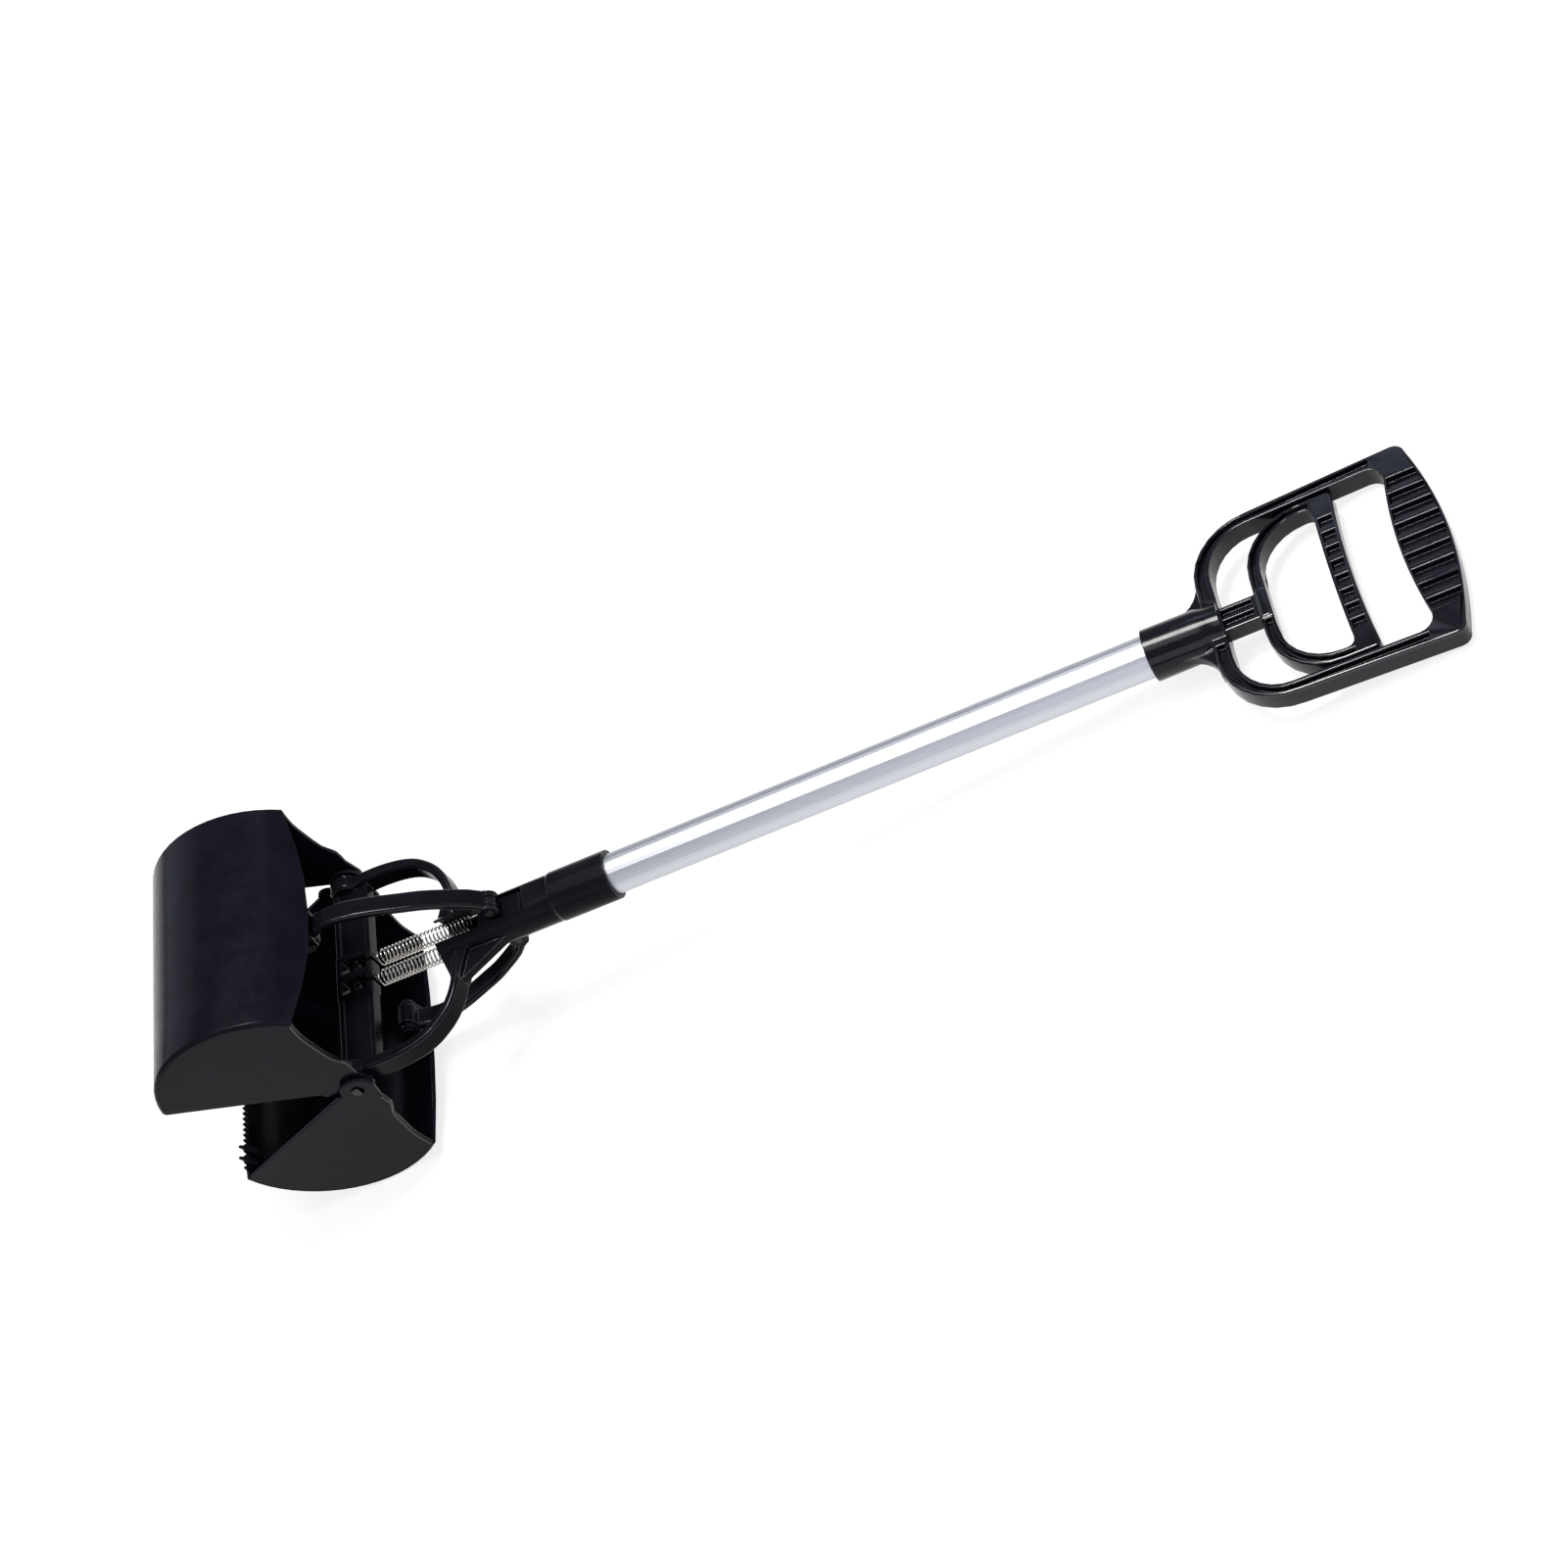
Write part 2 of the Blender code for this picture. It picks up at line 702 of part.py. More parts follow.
def jaw_fangs():
    """Two long teeth on the inside of the mouth, beside the outer end."""
    inner_radius = jaw_back_radius - jaw_back_thickness
    inner = jaw_back_centre_reach + math.sqrt(inner_radius**2 - jaw_back_centre_rise**2)
    back, front = running_gap - inner, running_gap + fang_thickness - inner
    fangs = []
    for y in fang_places:
        half, half_tip = fang_width / 2, fang_tip_width / 2
        blade = [(y - half, fang_root), (y - half, 0), (y - half_tip, -fang_height)]
        blade += [(y + half_tip, -fang_height), (y + half, 0), (y + half, fang_root)]
        fangs.append(prism(blade, back, front, "x"))
        low = (-inner - join_depth, y - half + join_step, join_depth)
        high = (front - join_depth, y + half - join_step, fang_root - join_depth)
        fangs.append(block(low, high))
    return fangs


def jaw_bracket(pivot):
    """Two cheeks inside the back that carry the link's pin."""
    radius = jaw_back_radius - jaw_back_thickness / 2
    root = arc(jaw_centre(), radius, bracket_root_start, bracket_root_end, 4)
    eye = arc(pivot, bracket_eye_radius, bracket_eye_start, 0, eye_sides // 2)
    cheeks = []
    for side in (1, -1):
        levels = sorted((side * bracket_inner_face, side * (bracket_inner_face + bracket_thickness)))
        cheeks.append(prism(root + eye, *levels, "y"))
    return cheeks


def turned_shut(point):
    """Where a point of the open upper jaw lies when the jaw is modelled shut."""
    cosine, sine = math.cos(jaw_opening), math.sin(jaw_opening)
    return (point[0] * cosine - point[1] * sine, point[0] * sine + point[1] * cosine)


def make_jaw(name, hinge, look):
    pivot = turned_shut(jaw_pivot)
    jaw = solid(name, jaw_back(), look["black plastic"], hinge)
    outline = jaw_end_outline()
    inner_end = prism(outline, -inner_face, -inner_face + jaw_end_thickness, "y")
    outer_end = prism(outline, jaw_half_width - jaw_end_thickness, jaw_half_width, "y")
    stop_levels = (join_depth - inner_face, jaw_end_thickness + join_depth / 2 - inner_face)
    stop = round_bar((-stop_reach, -stop_rise), stop_radius, *stop_levels, "y")
    join(jaw, inner_end, outer_end, stop, jaw_teeth(), *jaw_fangs(), *jaw_bracket(pivot))

    reach = jaw_half_width + cut_overrun
    hinge_hole = round_bar((0, 0), hinge_pin_radius + seat_gap, -reach, reach, "y")
    outer_face = bracket_inner_face + bracket_thickness
    hole_end = outer_face + cut_overrun
    pin_hole = round_bar(pivot, link_pin_radius + seat_gap, -hole_end, hole_end, "y")
    cut(jaw, hinge_hole, pin_hole)

    seat = outer_face + seat_gap
    pin = round_bar(pivot, link_pin_radius, -seat - join_depth, seat + join_depth, "y")
    heads = [
        round_bar(pivot, link_pin_head_radius, side * seat, side * (seat + link_pin_head_height), "y")
        for side in (1, -1)
    ]
    join(solid(f"{name}_pin", pin, look["steel"], hinge), *heads)


# Crosshead and links
def make_crosshead(tool, look):
    tilt = math.asin(crosshead_half_height / crosshead_radius)
    side = arc((0, 0), crosshead_radius, -tilt, tilt, corner_steps)
    outline = side + [(-y, -z) for y, z in side]
    body = prism(outline, crosshead_start, crosshead_end, "x", join_depth)
    item = solid("crosshead", body, look["black plastic"], tool)

    half = lug_thickness / 2
    foot = crosshead_half_height - join_depth
    top = arc(link_pivot, lug_radius, 0, math.pi, eye_sides // 2)
    lug = top + [(link_pivot_x - lug_radius, foot), (link_pivot_x + lug_radius, foot)]
    join(item, prism(lug, -half, half, "y"), prism(flipped(lug), -half, half, "y"))

    half_slot = hook_slot_width / 2
    slots = [
        block(
            (crosshead_start - cut_overrun, side * spring_side - half_slot, -crosshead_radius),
            (crosshead_start + hook_slot_length, side * spring_side + half_slot, crosshead_radius),
        )
        for side in (1, -1)
    ]
    cut(item, *slots)
    bar_end = spring_side + half_slot + join_depth
    join(item, round_bar((spring_bar_x, 0), spring_pin_radius, -bar_end, bar_end, "y"))

    pin_holes = [
        round_bar(
            (link_pivot_x, side * link_pivot_z), link_pin_radius + seat_gap, -link_width, link_width, "y"
        )
        for side in (1, -1)
    ]
    rod_hole = round_bar(
        (0, 0), rod_radius + seat_gap, rod_start - seat_gap, crosshead_end + cut_overrun, "x"
    )
    cut(item, *pin_holes, rod_hole)

    pin_end = link_width / 2
    for side, name in ((1, "upper"), (-1, "lower")):
        pin = round_bar((link_pivot_x, side * link_pivot_z), link_pin_radius, -pin_end, pin_end, "y")
        solid(f"{name}_link_pin", pin, look["steel"], tool)


def make_link(name, pivot, look):
    """An arched strap from a forked eye on the crosshead to a loose eye in the jaw's bracket."""
    across = Vector(link_eye) - Vector(link_pivot)
    along = across.normalized()
    up = Vector((along.y, -along.x))
    path = [tuple(across * reach + up * link_rise * rise) for reach, rise in link_shares]
    band = ribbon(smooth_path(path, 2), link_thickness, link_thickness)
    half = link_width / 2
    strap = prism(band, -half, half, "y", link_chamfer)
    link = solid(name, strap, look["black plastic"], pivot)
    eye = (across.x, across.y)
    join(
        link,
        round_bar((0, 0), link_eye_radius, -half, half, "y", eye_sides),
        round_bar(eye, link_jaw_eye_radius, -half, half, "y", eye_sides),
    )
    half_fork = lug_thickness / 2 + running_gap
    fork = lug_radius + 2 * running_gap
    slot = [
        (-fork, -fork - link_eye_radius),
        (fork + link_eye_radius, -fork - link_eye_radius),
        (fork + link_eye_radius, fork),
        (-fork / 2, fork),
        (-fork, fork / 2),
    ]
    cut(
        link,
        prism(slot, -half_fork, half_fork, "y"),
        round_bar((0, 0), link_pin_radius + seat_gap, -link_width, link_width, "y"),
        round_bar(eye, link_eye_hole, -link_width, link_width, "y", eye_sides),
    )


# Springs
def spring_path(side):
    """The wire's middle line: a hook on the anchor pin, the curls, and a hook on the crosshead's bar."""
    clear = hook_radius - spring_wire / 2 - spring_pin_radius - seat_gap
    lead = spring_lead_bend

    def hook(pin_x, coil_x, facing):
        """From the hook's tail to the coil; facing is 1 where the coil lies towards +X."""
        middle = pin_x + facing * clear
        points = [Vector((middle + facing * hook_tail, side, -hook_radius))]
        for angle in np.linspace(-math.pi / 2, -3 * math.pi / 2, 8):
            x = middle + facing * hook_radius * math.cos(angle)
            points.append(Vector((x, side, hook_radius * math.sin(angle))))
        rise = spring_radius - hook_radius
        for back, out, up in hook_lead_shares:
            shift = Vector((-facing * lead * back, facing * lead * out, hook_radius + rise * up))
            points.append(Vector((coil_x, side, 0)) + shift)
        return points

    steps = spring_turns * spring_points_per_turn
    coil = []
    for step in range(steps + 1):
        angle = math.pi / 2 + math.tau * step / spring_points_per_turn
        x = spring_start + (spring_end - spring_start) * step / steps
        coil.append(Vector((x, side + spring_radius * math.cos(angle), spring_radius * math.sin(angle))))
    return hook(spring_anchor_x, spring_start, 1) + coil + hook(spring_bar_x, spring_end, -1)[::-1]


def least_gap(points, wire):
    """The least distance between two stretches of the wire that aren't next to each other."""
    places = np.array(points)
    steps = np.linalg.norm(np.diff(places, axis=0), axis=1)
    run = np.concatenate([[0], np.cumsum(steps)])
    apart = np.linalg.norm(places[:, None] - places[None], axis=2)
    apart[np.abs(run[:, None] - run[None]) < spring_neighbour_run] = np.inf
    return apart.min() - wire


def make_springs(tool, look):
    for sign, name in ((1, "left"), (-1, "right")):
        points = spring_path(sign * spring_side)
        data = bpy.data.curves.new(f"spring_{name}", "CURVE")
        data.dimensions = "3D"
        data.bevel_depth = spring_wire / 2
        data.bevel_resolution = 1
        data.use_fill_caps = True
        wire = data.splines.new("POLY")
        wire.points.add(len(points) - 1)
        for place, point in zip(wire.points, points):
            place.co = (*point, 1)
        data.materials.append(look["spring steel"])
        item = bpy.data.objects.new(f"spring_{name}", data)
        bpy.context.scene.collection.objects.link(item)
        item.parent = tool
        print(f"spring_{name} least gap to itself: {least_gap(points, spring_wire) / mm:.2f} mm")

    half = spring_anchor_length / 2
    pin = round_bar((spring_anchor_x, 0), spring_pin_radius, -half, half, "y")
    solid("spring_anchor_pin", pin, look["steel"], tool)


# Rod
def make_rod(tool, look):
    rod = round_bar((0, 0), rod_radius, rod_start, rod_end, "x")
    solid("pull_rod", rod, look["steel"], tool)
    places = (
        ("rod_nut_lower", crosshead_end + seat_gap),
        ("rod_nut_upper", stem_start - seat_gap - nut_length),
    )
    for name, start in places:
        end = start + nut_length
        nut = solid(name, round_bar((0, 0), nut_radius, start, end, "x", nut_sides), look["steel"], tool)
        cut(nut, round_bar((0, 0), rod_radius + seat_gap, start - cut_overrun, end + cut_overrun, "x"))


# Handle
def bowed(middle, crown, y, half_width):
    """The place along X of a bowed edge, at a distance from the middle line."""
    return middle + crown * (y / half_width) ** 2


def handle_corner(inset):
    """The outside corner of the handle at its front, drawn in by a margin."""
    centre = (handle_front + handle_corner_length, handle_front_flat)
    radii = (handle_corner_length - inset, handle_shoulder - handle_front_flat - inset)
    return ellipse(centre, radii, math.pi, math.pi / 2, corner_steps)


def handle_inner_corner(inset):
    """The inside corner of the handle at its front, pushed out by a margin."""
    centre = (handle_inner_front + handle_inner_corner_length, handle_front_flat)
    radii = (handle_inner_corner_length + inset, handle_inner_shoulder - handle_front_flat + inset)
    return ellipse(centre, radii, math.pi, math.pi / 2, corner_steps)


def handle_outer():
    edge = handle_half_width - grip_corner_radius
    corner_x = bowed(handle_back, -grip_crown, edge, handle_half_width) - grip_corner_radius
    half = handle_corner(0)
    half += arc((corner_x, edge), grip_corner_radius, math.pi / 2, 0, 4)
    half += [(bowed(handle_back, -grip_crown, y, handle_half_width), y) for y in np.linspace(edge, 0, 8)[1:]]
    return mirrored(half)


def handle_inner():
    edge = handle_inner_half_width - grip_inner_radius
    half = handle_inner_corner(0)
    half += arc((handle_inner_end, edge), grip_inner_radius, math.pi / 2, 0, 5)
    half += [(bowed(grip_front, grip_front_crown, y, edge), y) for y in np.linspace(edge, 0, 7)[1:]]
    return mirrored(half)


def handle_grooves():
    """The groove along each side of the handle, on both faces."""
    end = handle_inner_end + rail_groove_run
    outer = [point for point in handle_corner(rail_rim) if point[1] > rail_groove_start]
    outer = [(handle_front + rail_rim, rail_groove_start)] + outer
    outer.append((end, handle_half_width - rail_rim))
    inner = [(handle_inner_front - rail_rim, rail_groove_start)] + handle_inner_corner(rail_rim)
    inner.append((end, handle_inner_half_width + rail_rim))
    return face_cuts(outer + inner[::-1], handle_thickness, rail_groove_depth)


def face_cuts(outline, thickness, depth):
    """Cutters for an outline and its mirror image, into both faces of a flat piece."""
    floor, top = thickness / 2 - depth, thickness / 2 + cut_overrun
    cutters = []
    for points in (outline, flipped(outline)):
        cutters += [prism(points, floor, top), prism(points, -top, -floor)]
    return cutters


def pocket_cuts(count, pitch, width, front, back, thickness, depth):
    """A row of pockets across a bar, in both faces; front and back give its edges at a distance."""
    floor, top = thickness / 2 - depth, thickness / 2 + cut_overrun
    cutters = []
    for index in range(count):
        y = (index - (count - 1) / 2) * pitch
        low, high = y - width / 2, y + width / 2
        outline = [(front(low), low), (back(low), low), (back(high), high), (front(high), high)]
        cutters += [prism(outline, floor, top), prism(outline, -top, -floor)]
    return cutters


def grip_cuts():
    def front(y):
        return bowed(grip_front, grip_front_crown, y, handle_inner_half_width - grip_inner_radius) + grip_rim

    def back(y):
        return bowed(handle_back, -grip_crown, y, handle_half_width) - grip_rim

    sizes = (grip_pockets, grip_pocket_pitch, grip_pocket_width)
    return pocket_cuts(*sizes, front, back, handle_thickness, grip_pocket_depth)


def handle_web(side):
    """A thin web that sweeps from the socket out to the handle's front."""
    centre = (web_start, web_reach)
    radii = (handle_front + join_depth - web_start, web_reach - handle_socket_radius + join_depth)
    outline = ellipse(centre, radii, -math.pi / 2, 0, corner_steps)
    root, end = socket_bore + join_depth, handle_socket_end + 2 * seat_gap
    front = handle_front + 2 * join_depth
    outline += [(front, web_reach), (front, tube_radius), (end, tube_radius), (end, root), (web_start, root)]
    return prism(outline if side > 0 else flipped(outline), -web_thickness / 2, web_thickness / 2)


def handle_socket():
    """The socket that the pole seats in, closed by a boss that the trigger's stem slides through."""
    mouth, end = handle_socket_radius, handle_socket_radius - handle_socket_taper
    inner = stem_half_height - join_depth
    boss_end = handle_inner_front - join_depth
    return turned(
        [
            (handle_socket_start, mouth),
            (handle_socket_end, end),
            (handle_boss_start, handle_boss_radius),
            (boss_end, handle_boss_radius),
            (boss_end, inner),
            (handle_socket_end, inner),
            (handle_socket_end, socket_bore),
            (handle_socket_start, socket_bore),
        ]
    )


def make_handle(tool, look):
    half = handle_thickness / 2
    ring = prism(handle_outer(), -half, half, "z", handle_chamfer)
    handle = solid("handle_frame", ring, look["black plastic"], tool)
    reach = half + cut_overrun
    cut(handle, prism(handle_inner(), -reach, reach))
    cut(handle, *handle_grooves(), *grip_cuts())
    join(handle, handle_socket(), handle_web(1), handle_web(-1))
    wide, high = stem_half_width + running_gap, stem_half_height + running_gap
    channel = block(
        (handle_socket_end - cut_overrun, -wide, -high), (handle_inner_front + cut_overrun, wide, high)
    )
    cut(handle, channel, screw_hole(screw_places()["handle_screw"][0]))


# Trigger
def trigger_corner(inset):
    centre = (trigger_front + trigger_corner_length, trigger_front_flat)
    radii = (trigger_corner_length - inset, trigger_half_width - trigger_front_flat - inset)
    return ellipse(centre, radii, math.pi, math.pi / 2, corner_steps)


def trigger_inner_corner(inset):
    centre = (trigger_inner_front + trigger_inner_corner_length, trigger_front_flat)
    radii = (trigger_inner_corner_length + inset, trigger_inner_half_width - trigger_front_flat + inset)
    return ellipse(centre, radii, math.pi, math.pi / 2, corner_steps)


def trigger_outer():
    edge = trigger_half_width - trigger_end_radius
    corner_x = bowed(trigger_back, trigger_dish, edge, edge) - trigger_end_radius
    half = trigger_corner(0)
    half += arc((corner_x, edge), trigger_end_radius, math.pi / 2, 0, 3)
    half += [(bowed(trigger_back, trigger_dish, y, edge), y) for y in np.linspace(edge, 0, 6)[1:]]
    return mirrored(half)


def trigger_inner():
    edge = trigger_inner_half_width - trigger_inner_radius
    front = trigger_back - trigger_bar
    corner_x = bowed(front, trigger_bar_dish, edge, edge) - trigger_inner_radius
    half = trigger_inner_corner(0)
    half += arc((corner_x, edge), trigger_inner_radius, math.pi / 2, 0, 3)
    half += [(bowed(front, trigger_bar_dish, y, edge), y) for y in np.linspace(edge, 0, 6)[1:]]
    return mirrored(half)


def trigger_grooves():
    end = trigger_back - trigger_bar
    outer = [(trigger_front + trigger_rim, trigger_groove_start)] + trigger_corner(trigger_rim)
    outer.append((end, trigger_half_width - trigger_rim))
    inner = [(trigger_inner_front - trigger_rim, trigger_groove_start)] + trigger_inner_corner(trigger_rim)
    inner.append((end, trigger_inner_half_width + trigger_rim))
    return face_cuts(outer + inner[::-1], trigger_thickness, rail_groove_depth)


def trigger_bar_cuts():
    def front(y):
        return bowed(trigger_back - trigger_bar, trigger_bar_dish, y, trigger_inner_half_width) + trigger_rim

    def back(y):
        return bowed(trigger_back, trigger_dish, y, trigger_half_width) - trigger_rim

    sizes = (trigger_pockets, trigger_pocket_pitch, trigger_pocket_width)
    return pocket_cuts(*sizes, front, back, trigger_thickness, rail_groove_depth)


def stem_cuts():
    """Grooves in both faces of the stem, either side of a thin rib."""
    outline = [
        (stem_groove_start, stem_rib / 2),
        (trigger_front - stem_rim, stem_rib / 2),
        (trigger_front - stem_rim, stem_half_width - stem_rim),
        (stem_groove_start, stem_half_width - stem_rim),
    ]
    return face_cuts(outline, 2 * stem_half_height, stem_half_height - stem_web / 2)


def make_trigger(tool, look):
    half = trigger_thickness / 2
    loop = prism(trigger_outer(), -half, half, "z", trigger_chamfer)
    trigger = solid("trigger", loop, look["black plastic"], tool)
    reach = half + cut_overrun
    cut(trigger, prism(trigger_inner(), -reach, reach))
    cut(trigger, *trigger_grooves(), *trigger_bar_cuts())
    stem_end = trigger_front + collar_length / 2
    stem = block(
        (stem_start, -stem_half_width, -stem_half_height),
        (stem_end, stem_half_width, stem_half_height),
        join_depth,
    )
    collar = block(
        (trigger_front + join_depth, -collar_half_width, -collar_half_height),
        (trigger_front + collar_length, collar_half_width, collar_half_height),
        join_depth * 2,
    )
    join(trigger, stem, collar)
    rod_hole = round_bar((0, 0), rod_radius + seat_gap, stem_start - cut_overrun, rod_end + seat_gap, "x")
    cut(trigger, *stem_cuts(), rod_hole)


# Assembly
def pivot_empty(name, tool, place=(0, 0, 0), turn=(0, 0, 0)):
    empty = bpy.data.objects.new(name, None)
    bpy.context.scene.collection.objects.link(empty)
    empty.parent = tool
    empty.location = place
    empty.rotation_euler = turn
    return empty


def resting_tilt():
    """The turn about Y that brings the lower jaw's back and the grip's edge to one level."""
    centre_x, centre_z = -jaw_back_centre_reach, jaw_back_centre_rise
    cosine, sine = math.cos(jaw_opening), math.sin(jaw_opening)
    back = (centre_x * cosine + centre_z * sine, -(centre_z * cosine - centre_x * sine))
    grip = (handle_back - handle_chamfer, -handle_thickness / 2)
    along, below = grip[0] - back[0], grip[1] - back[1]
    return math.asin(jaw_back_radius / math.hypot(along, below)) - math.atan2(-below, along)


def seat_on_ground(tool):
    """Puts the world's origin under the middle of the tool's box, at its lowest point."""
    bpy.context.view_layer.update()
    graph = bpy.context.evaluated_depsgraph_get()
    corners = []
    for item in bpy.data.objects:
        if item.type == "EMPTY" or item.hide_render:
            continue
        evaluated = item.evaluated_get(graph)
        mesh = evaluated.to_mesh()
        places = np.empty(len(mesh.vertices) * 3, np.float32)
        mesh.vertices.foreach_get("co", places)
        matrix = np.array(evaluated.matrix_world)
        places = places.reshape(-1, 3) @ matrix[:3, :3].T + matrix[:3, 3]
        corners += [places.min(axis=0), places.max(axis=0)]
        evaluated.to_mesh_clear()
    low, high = np.min(corners, axis=0), np.max(corners, axis=0)
    tool.location = (-(low[0] + high[0]) / 2, -(low[1] + high[1]) / 2, -low[2])
    print("box in mm:", np.round((high - low) / mm, 2))


def main():
    for item in list(bpy.data.objects):
        bpy.data.objects.remove(item, do_unlink=True)
    look = {
        "black plastic": plastic("black plastic", (0.008, 0.008, 0.011), 0.22),
        "white plastic": plastic("white plastic", (0.7, 0.7, 0.68), 0.4),
        "aluminium": metal("satin aluminium", (0.78, 0.78, 0.8), 0.32),
        "steel": metal("blackened steel", (0.05, 0.05, 0.055), 0.35),
        "spring steel": metal("bright spring steel", (0.75, 0.74, 0.72), 0.2),
    }
    tool = bpy.data.objects.new("tool", None)
    bpy.context.scene.collection.objects.link(tool)
    tool.rotation_euler = (0, resting_tilt(), 0)

    make_pole(tool, look)
    make_bushes(tool, look)
    make_screws(tool, look)
    make_yoke(tool, look)
    make_hinge_pins(tool, look)
    make_springs(tool, look)
    make_handle(tool, look)
    make_trigger(tool, look)
    make_rod(tool, look)
    make_crosshead(tool, look)

    hinges = {
        "upper_jaw": pivot_empty("upper_jaw_hinge", tool, turn=(0, jaw_opening, 0)),
        "lower_jaw": pivot_empty("lower_jaw_hinge", tool, turn=(math.pi, -jaw_opening, 0)),
    }
    for name, hinge in hinges.items():
        make_jaw(name, hinge, look)
    pivots = {
        "upper_link": pivot_empty("upper_link_pivot", tool, (link_pivot_x, 0, link_pivot_z)),
        "lower_link": pivot_empty(
            "lower_link_pivot", tool, (link_pivot_x, 0, -link_pivot_z), (math.pi, 0, 0)
        ),
    }
    for name, pivot in pivots.items():
        make_link(name, pivot, look)

    seat_on_ground(tool)
    bpy.context.view_layer.update()
    print("tilt in radians:", round(tool.rotation_euler.y, 6))
    for name, item in (hinges | pivots).items():
        print(name, "joint at", [round(value, 6) for value in item.matrix_world.translation])
    turn = tool.matrix_world.to_3x3()
    print("along the pole:", [round(value, 6) for value in turn @ Vector((1, 0, 0))])


main()
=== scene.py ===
import json
import math

import bmesh
import bpy
from mathutils import Matrix, Vector


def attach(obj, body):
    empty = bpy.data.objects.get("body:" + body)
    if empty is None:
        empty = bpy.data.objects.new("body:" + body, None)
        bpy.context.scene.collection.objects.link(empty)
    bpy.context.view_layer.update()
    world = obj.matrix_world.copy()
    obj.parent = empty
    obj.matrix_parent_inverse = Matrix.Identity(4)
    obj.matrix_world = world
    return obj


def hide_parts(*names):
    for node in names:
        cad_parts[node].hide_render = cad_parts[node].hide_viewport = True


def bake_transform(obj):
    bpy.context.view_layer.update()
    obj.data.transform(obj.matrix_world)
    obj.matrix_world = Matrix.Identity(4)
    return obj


mm = 0.001

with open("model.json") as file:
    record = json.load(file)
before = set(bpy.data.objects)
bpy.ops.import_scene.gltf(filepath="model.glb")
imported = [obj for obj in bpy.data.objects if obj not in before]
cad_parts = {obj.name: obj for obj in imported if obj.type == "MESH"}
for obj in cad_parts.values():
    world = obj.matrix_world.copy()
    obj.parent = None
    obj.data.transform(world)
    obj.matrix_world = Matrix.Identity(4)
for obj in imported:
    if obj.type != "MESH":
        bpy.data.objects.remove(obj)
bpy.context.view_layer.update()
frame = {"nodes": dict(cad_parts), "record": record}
nodes = frame["nodes"]
print("frame loaded:", len(nodes), "nodes")


# Camera, set to the photograph's view
view = {
    "place": (0.53731, -0.89723, 1.10454),
    "turnDegrees": (32.9807, 32.5333, -9.1761),
    "lensMm": 67.389,
    "sensorMm": 36.0,
    "clipEnd": 50,
}
cameraData = bpy.data.cameras.new("camera")
cameraData.lens = view["lensMm"]
cameraData.sensor_width = view["sensorMm"]
cameraData.clip_end = view["clipEnd"]
camera = bpy.data.objects.new("camera", cameraData)
camera.location = view["place"]
camera.rotation_euler = [math.radians(angle) for angle in view["turnDegrees"]]
bpy.context.scene.collection.objects.link(camera)
bpy.context.scene.camera = camera
bpy.context.scene.view_settings.view_transform = "Standard"
print("camera set")


# Colours are written in sRGB hex and turned to linear here
def linear(hexColour):
    channels = [int(hexColour[i : i + 2], 16) / 255 for i in (1, 3, 5)]
    return [c / 12.92 if c <= 0.04045 else ((c + 0.055) / 1.055) ** 2.4 for c in channels] + [1]


def addNode(tree, kind, settings=None, links=None):
    node = tree.nodes.new(kind)
    for name, value in (settings or {}).items():
        if name in node.inputs:
            node.inputs[name].default_value = value
        else:
            setattr(node, name, value)
    for name, socket in (links or {}).items():
        tree.links.new(socket, node.inputs[name])
    return node


def newMaterial(name):
    material = bpy.data.materials.new(name)
    material.use_nodes = True
    tree = material.node_tree
    tree.nodes.clear()
    output = addNode(tree, "ShaderNodeOutputMaterial")
    shader = addNode(tree, "ShaderNodeBsdfPrincipled")
    tree.links.new(shader.outputs["BSDF"], output.inputs["Surface"])
    place = addNode(tree, "ShaderNodeTexCoord").outputs["Object"]
    return material, tree, shader, place


noiseRoughness = 0.55


# Noise whose patches are about sizeMm across; stretch under 1 draws them out along that axis
def noiseAt(tree, place, sizeMm, detail, stretch=(1, 1, 1)):
    scale = [factor / (sizeMm * mm) for factor in stretch]
    spread = addNode(tree, "ShaderNodeMapping", {"Scale": scale}, {"Vector": place})
    noise = addNode(
        tree,
        "ShaderNodeTexNoise",
        {"Scale": 1.0, "Detail": detail, "Roughness": noiseRoughness},
        {"Vector": spread.outputs["Vector"]},
    )
    return noise.outputs["Fac"]


def remap(tree, value, fromRange, toRange):
    names = ("From Min", "From Max", "To Min", "To Max")
    limits = dict(zip(names, (*fromRange, *toRange)))
    return addNode(tree, "ShaderNodeMapRange", limits, {"Value": value}).outputs["Result"]


mixSockets = {"share": 0, "first": 6, "second": 7, "result": 2}  # the Mix node's own sockets for colour


def mixColours(tree, share, first, second):
    mix = addNode(tree, "ShaderNodeMix", {"data_type": "RGBA"})
    for name, colour in (("first", first), ("second", second)):
        socket = mix.inputs[mixSockets[name]]
        if isinstance(colour, str):
            socket.default_value = linear(colour)
        else:
            tree.links.new(colour, socket)
    tree.links.new(share, mix.inputs[mixSockets["share"]])
    return mix.outputs[mixSockets["result"]]


def bumpFrom(tree, height, depthMm, strength):
    settings = {"Strength": strength, "Distance": depthMm * mm}
    return addNode(tree, "ShaderNodeBump", settings, {"Height": height}).outputs["Normal"]


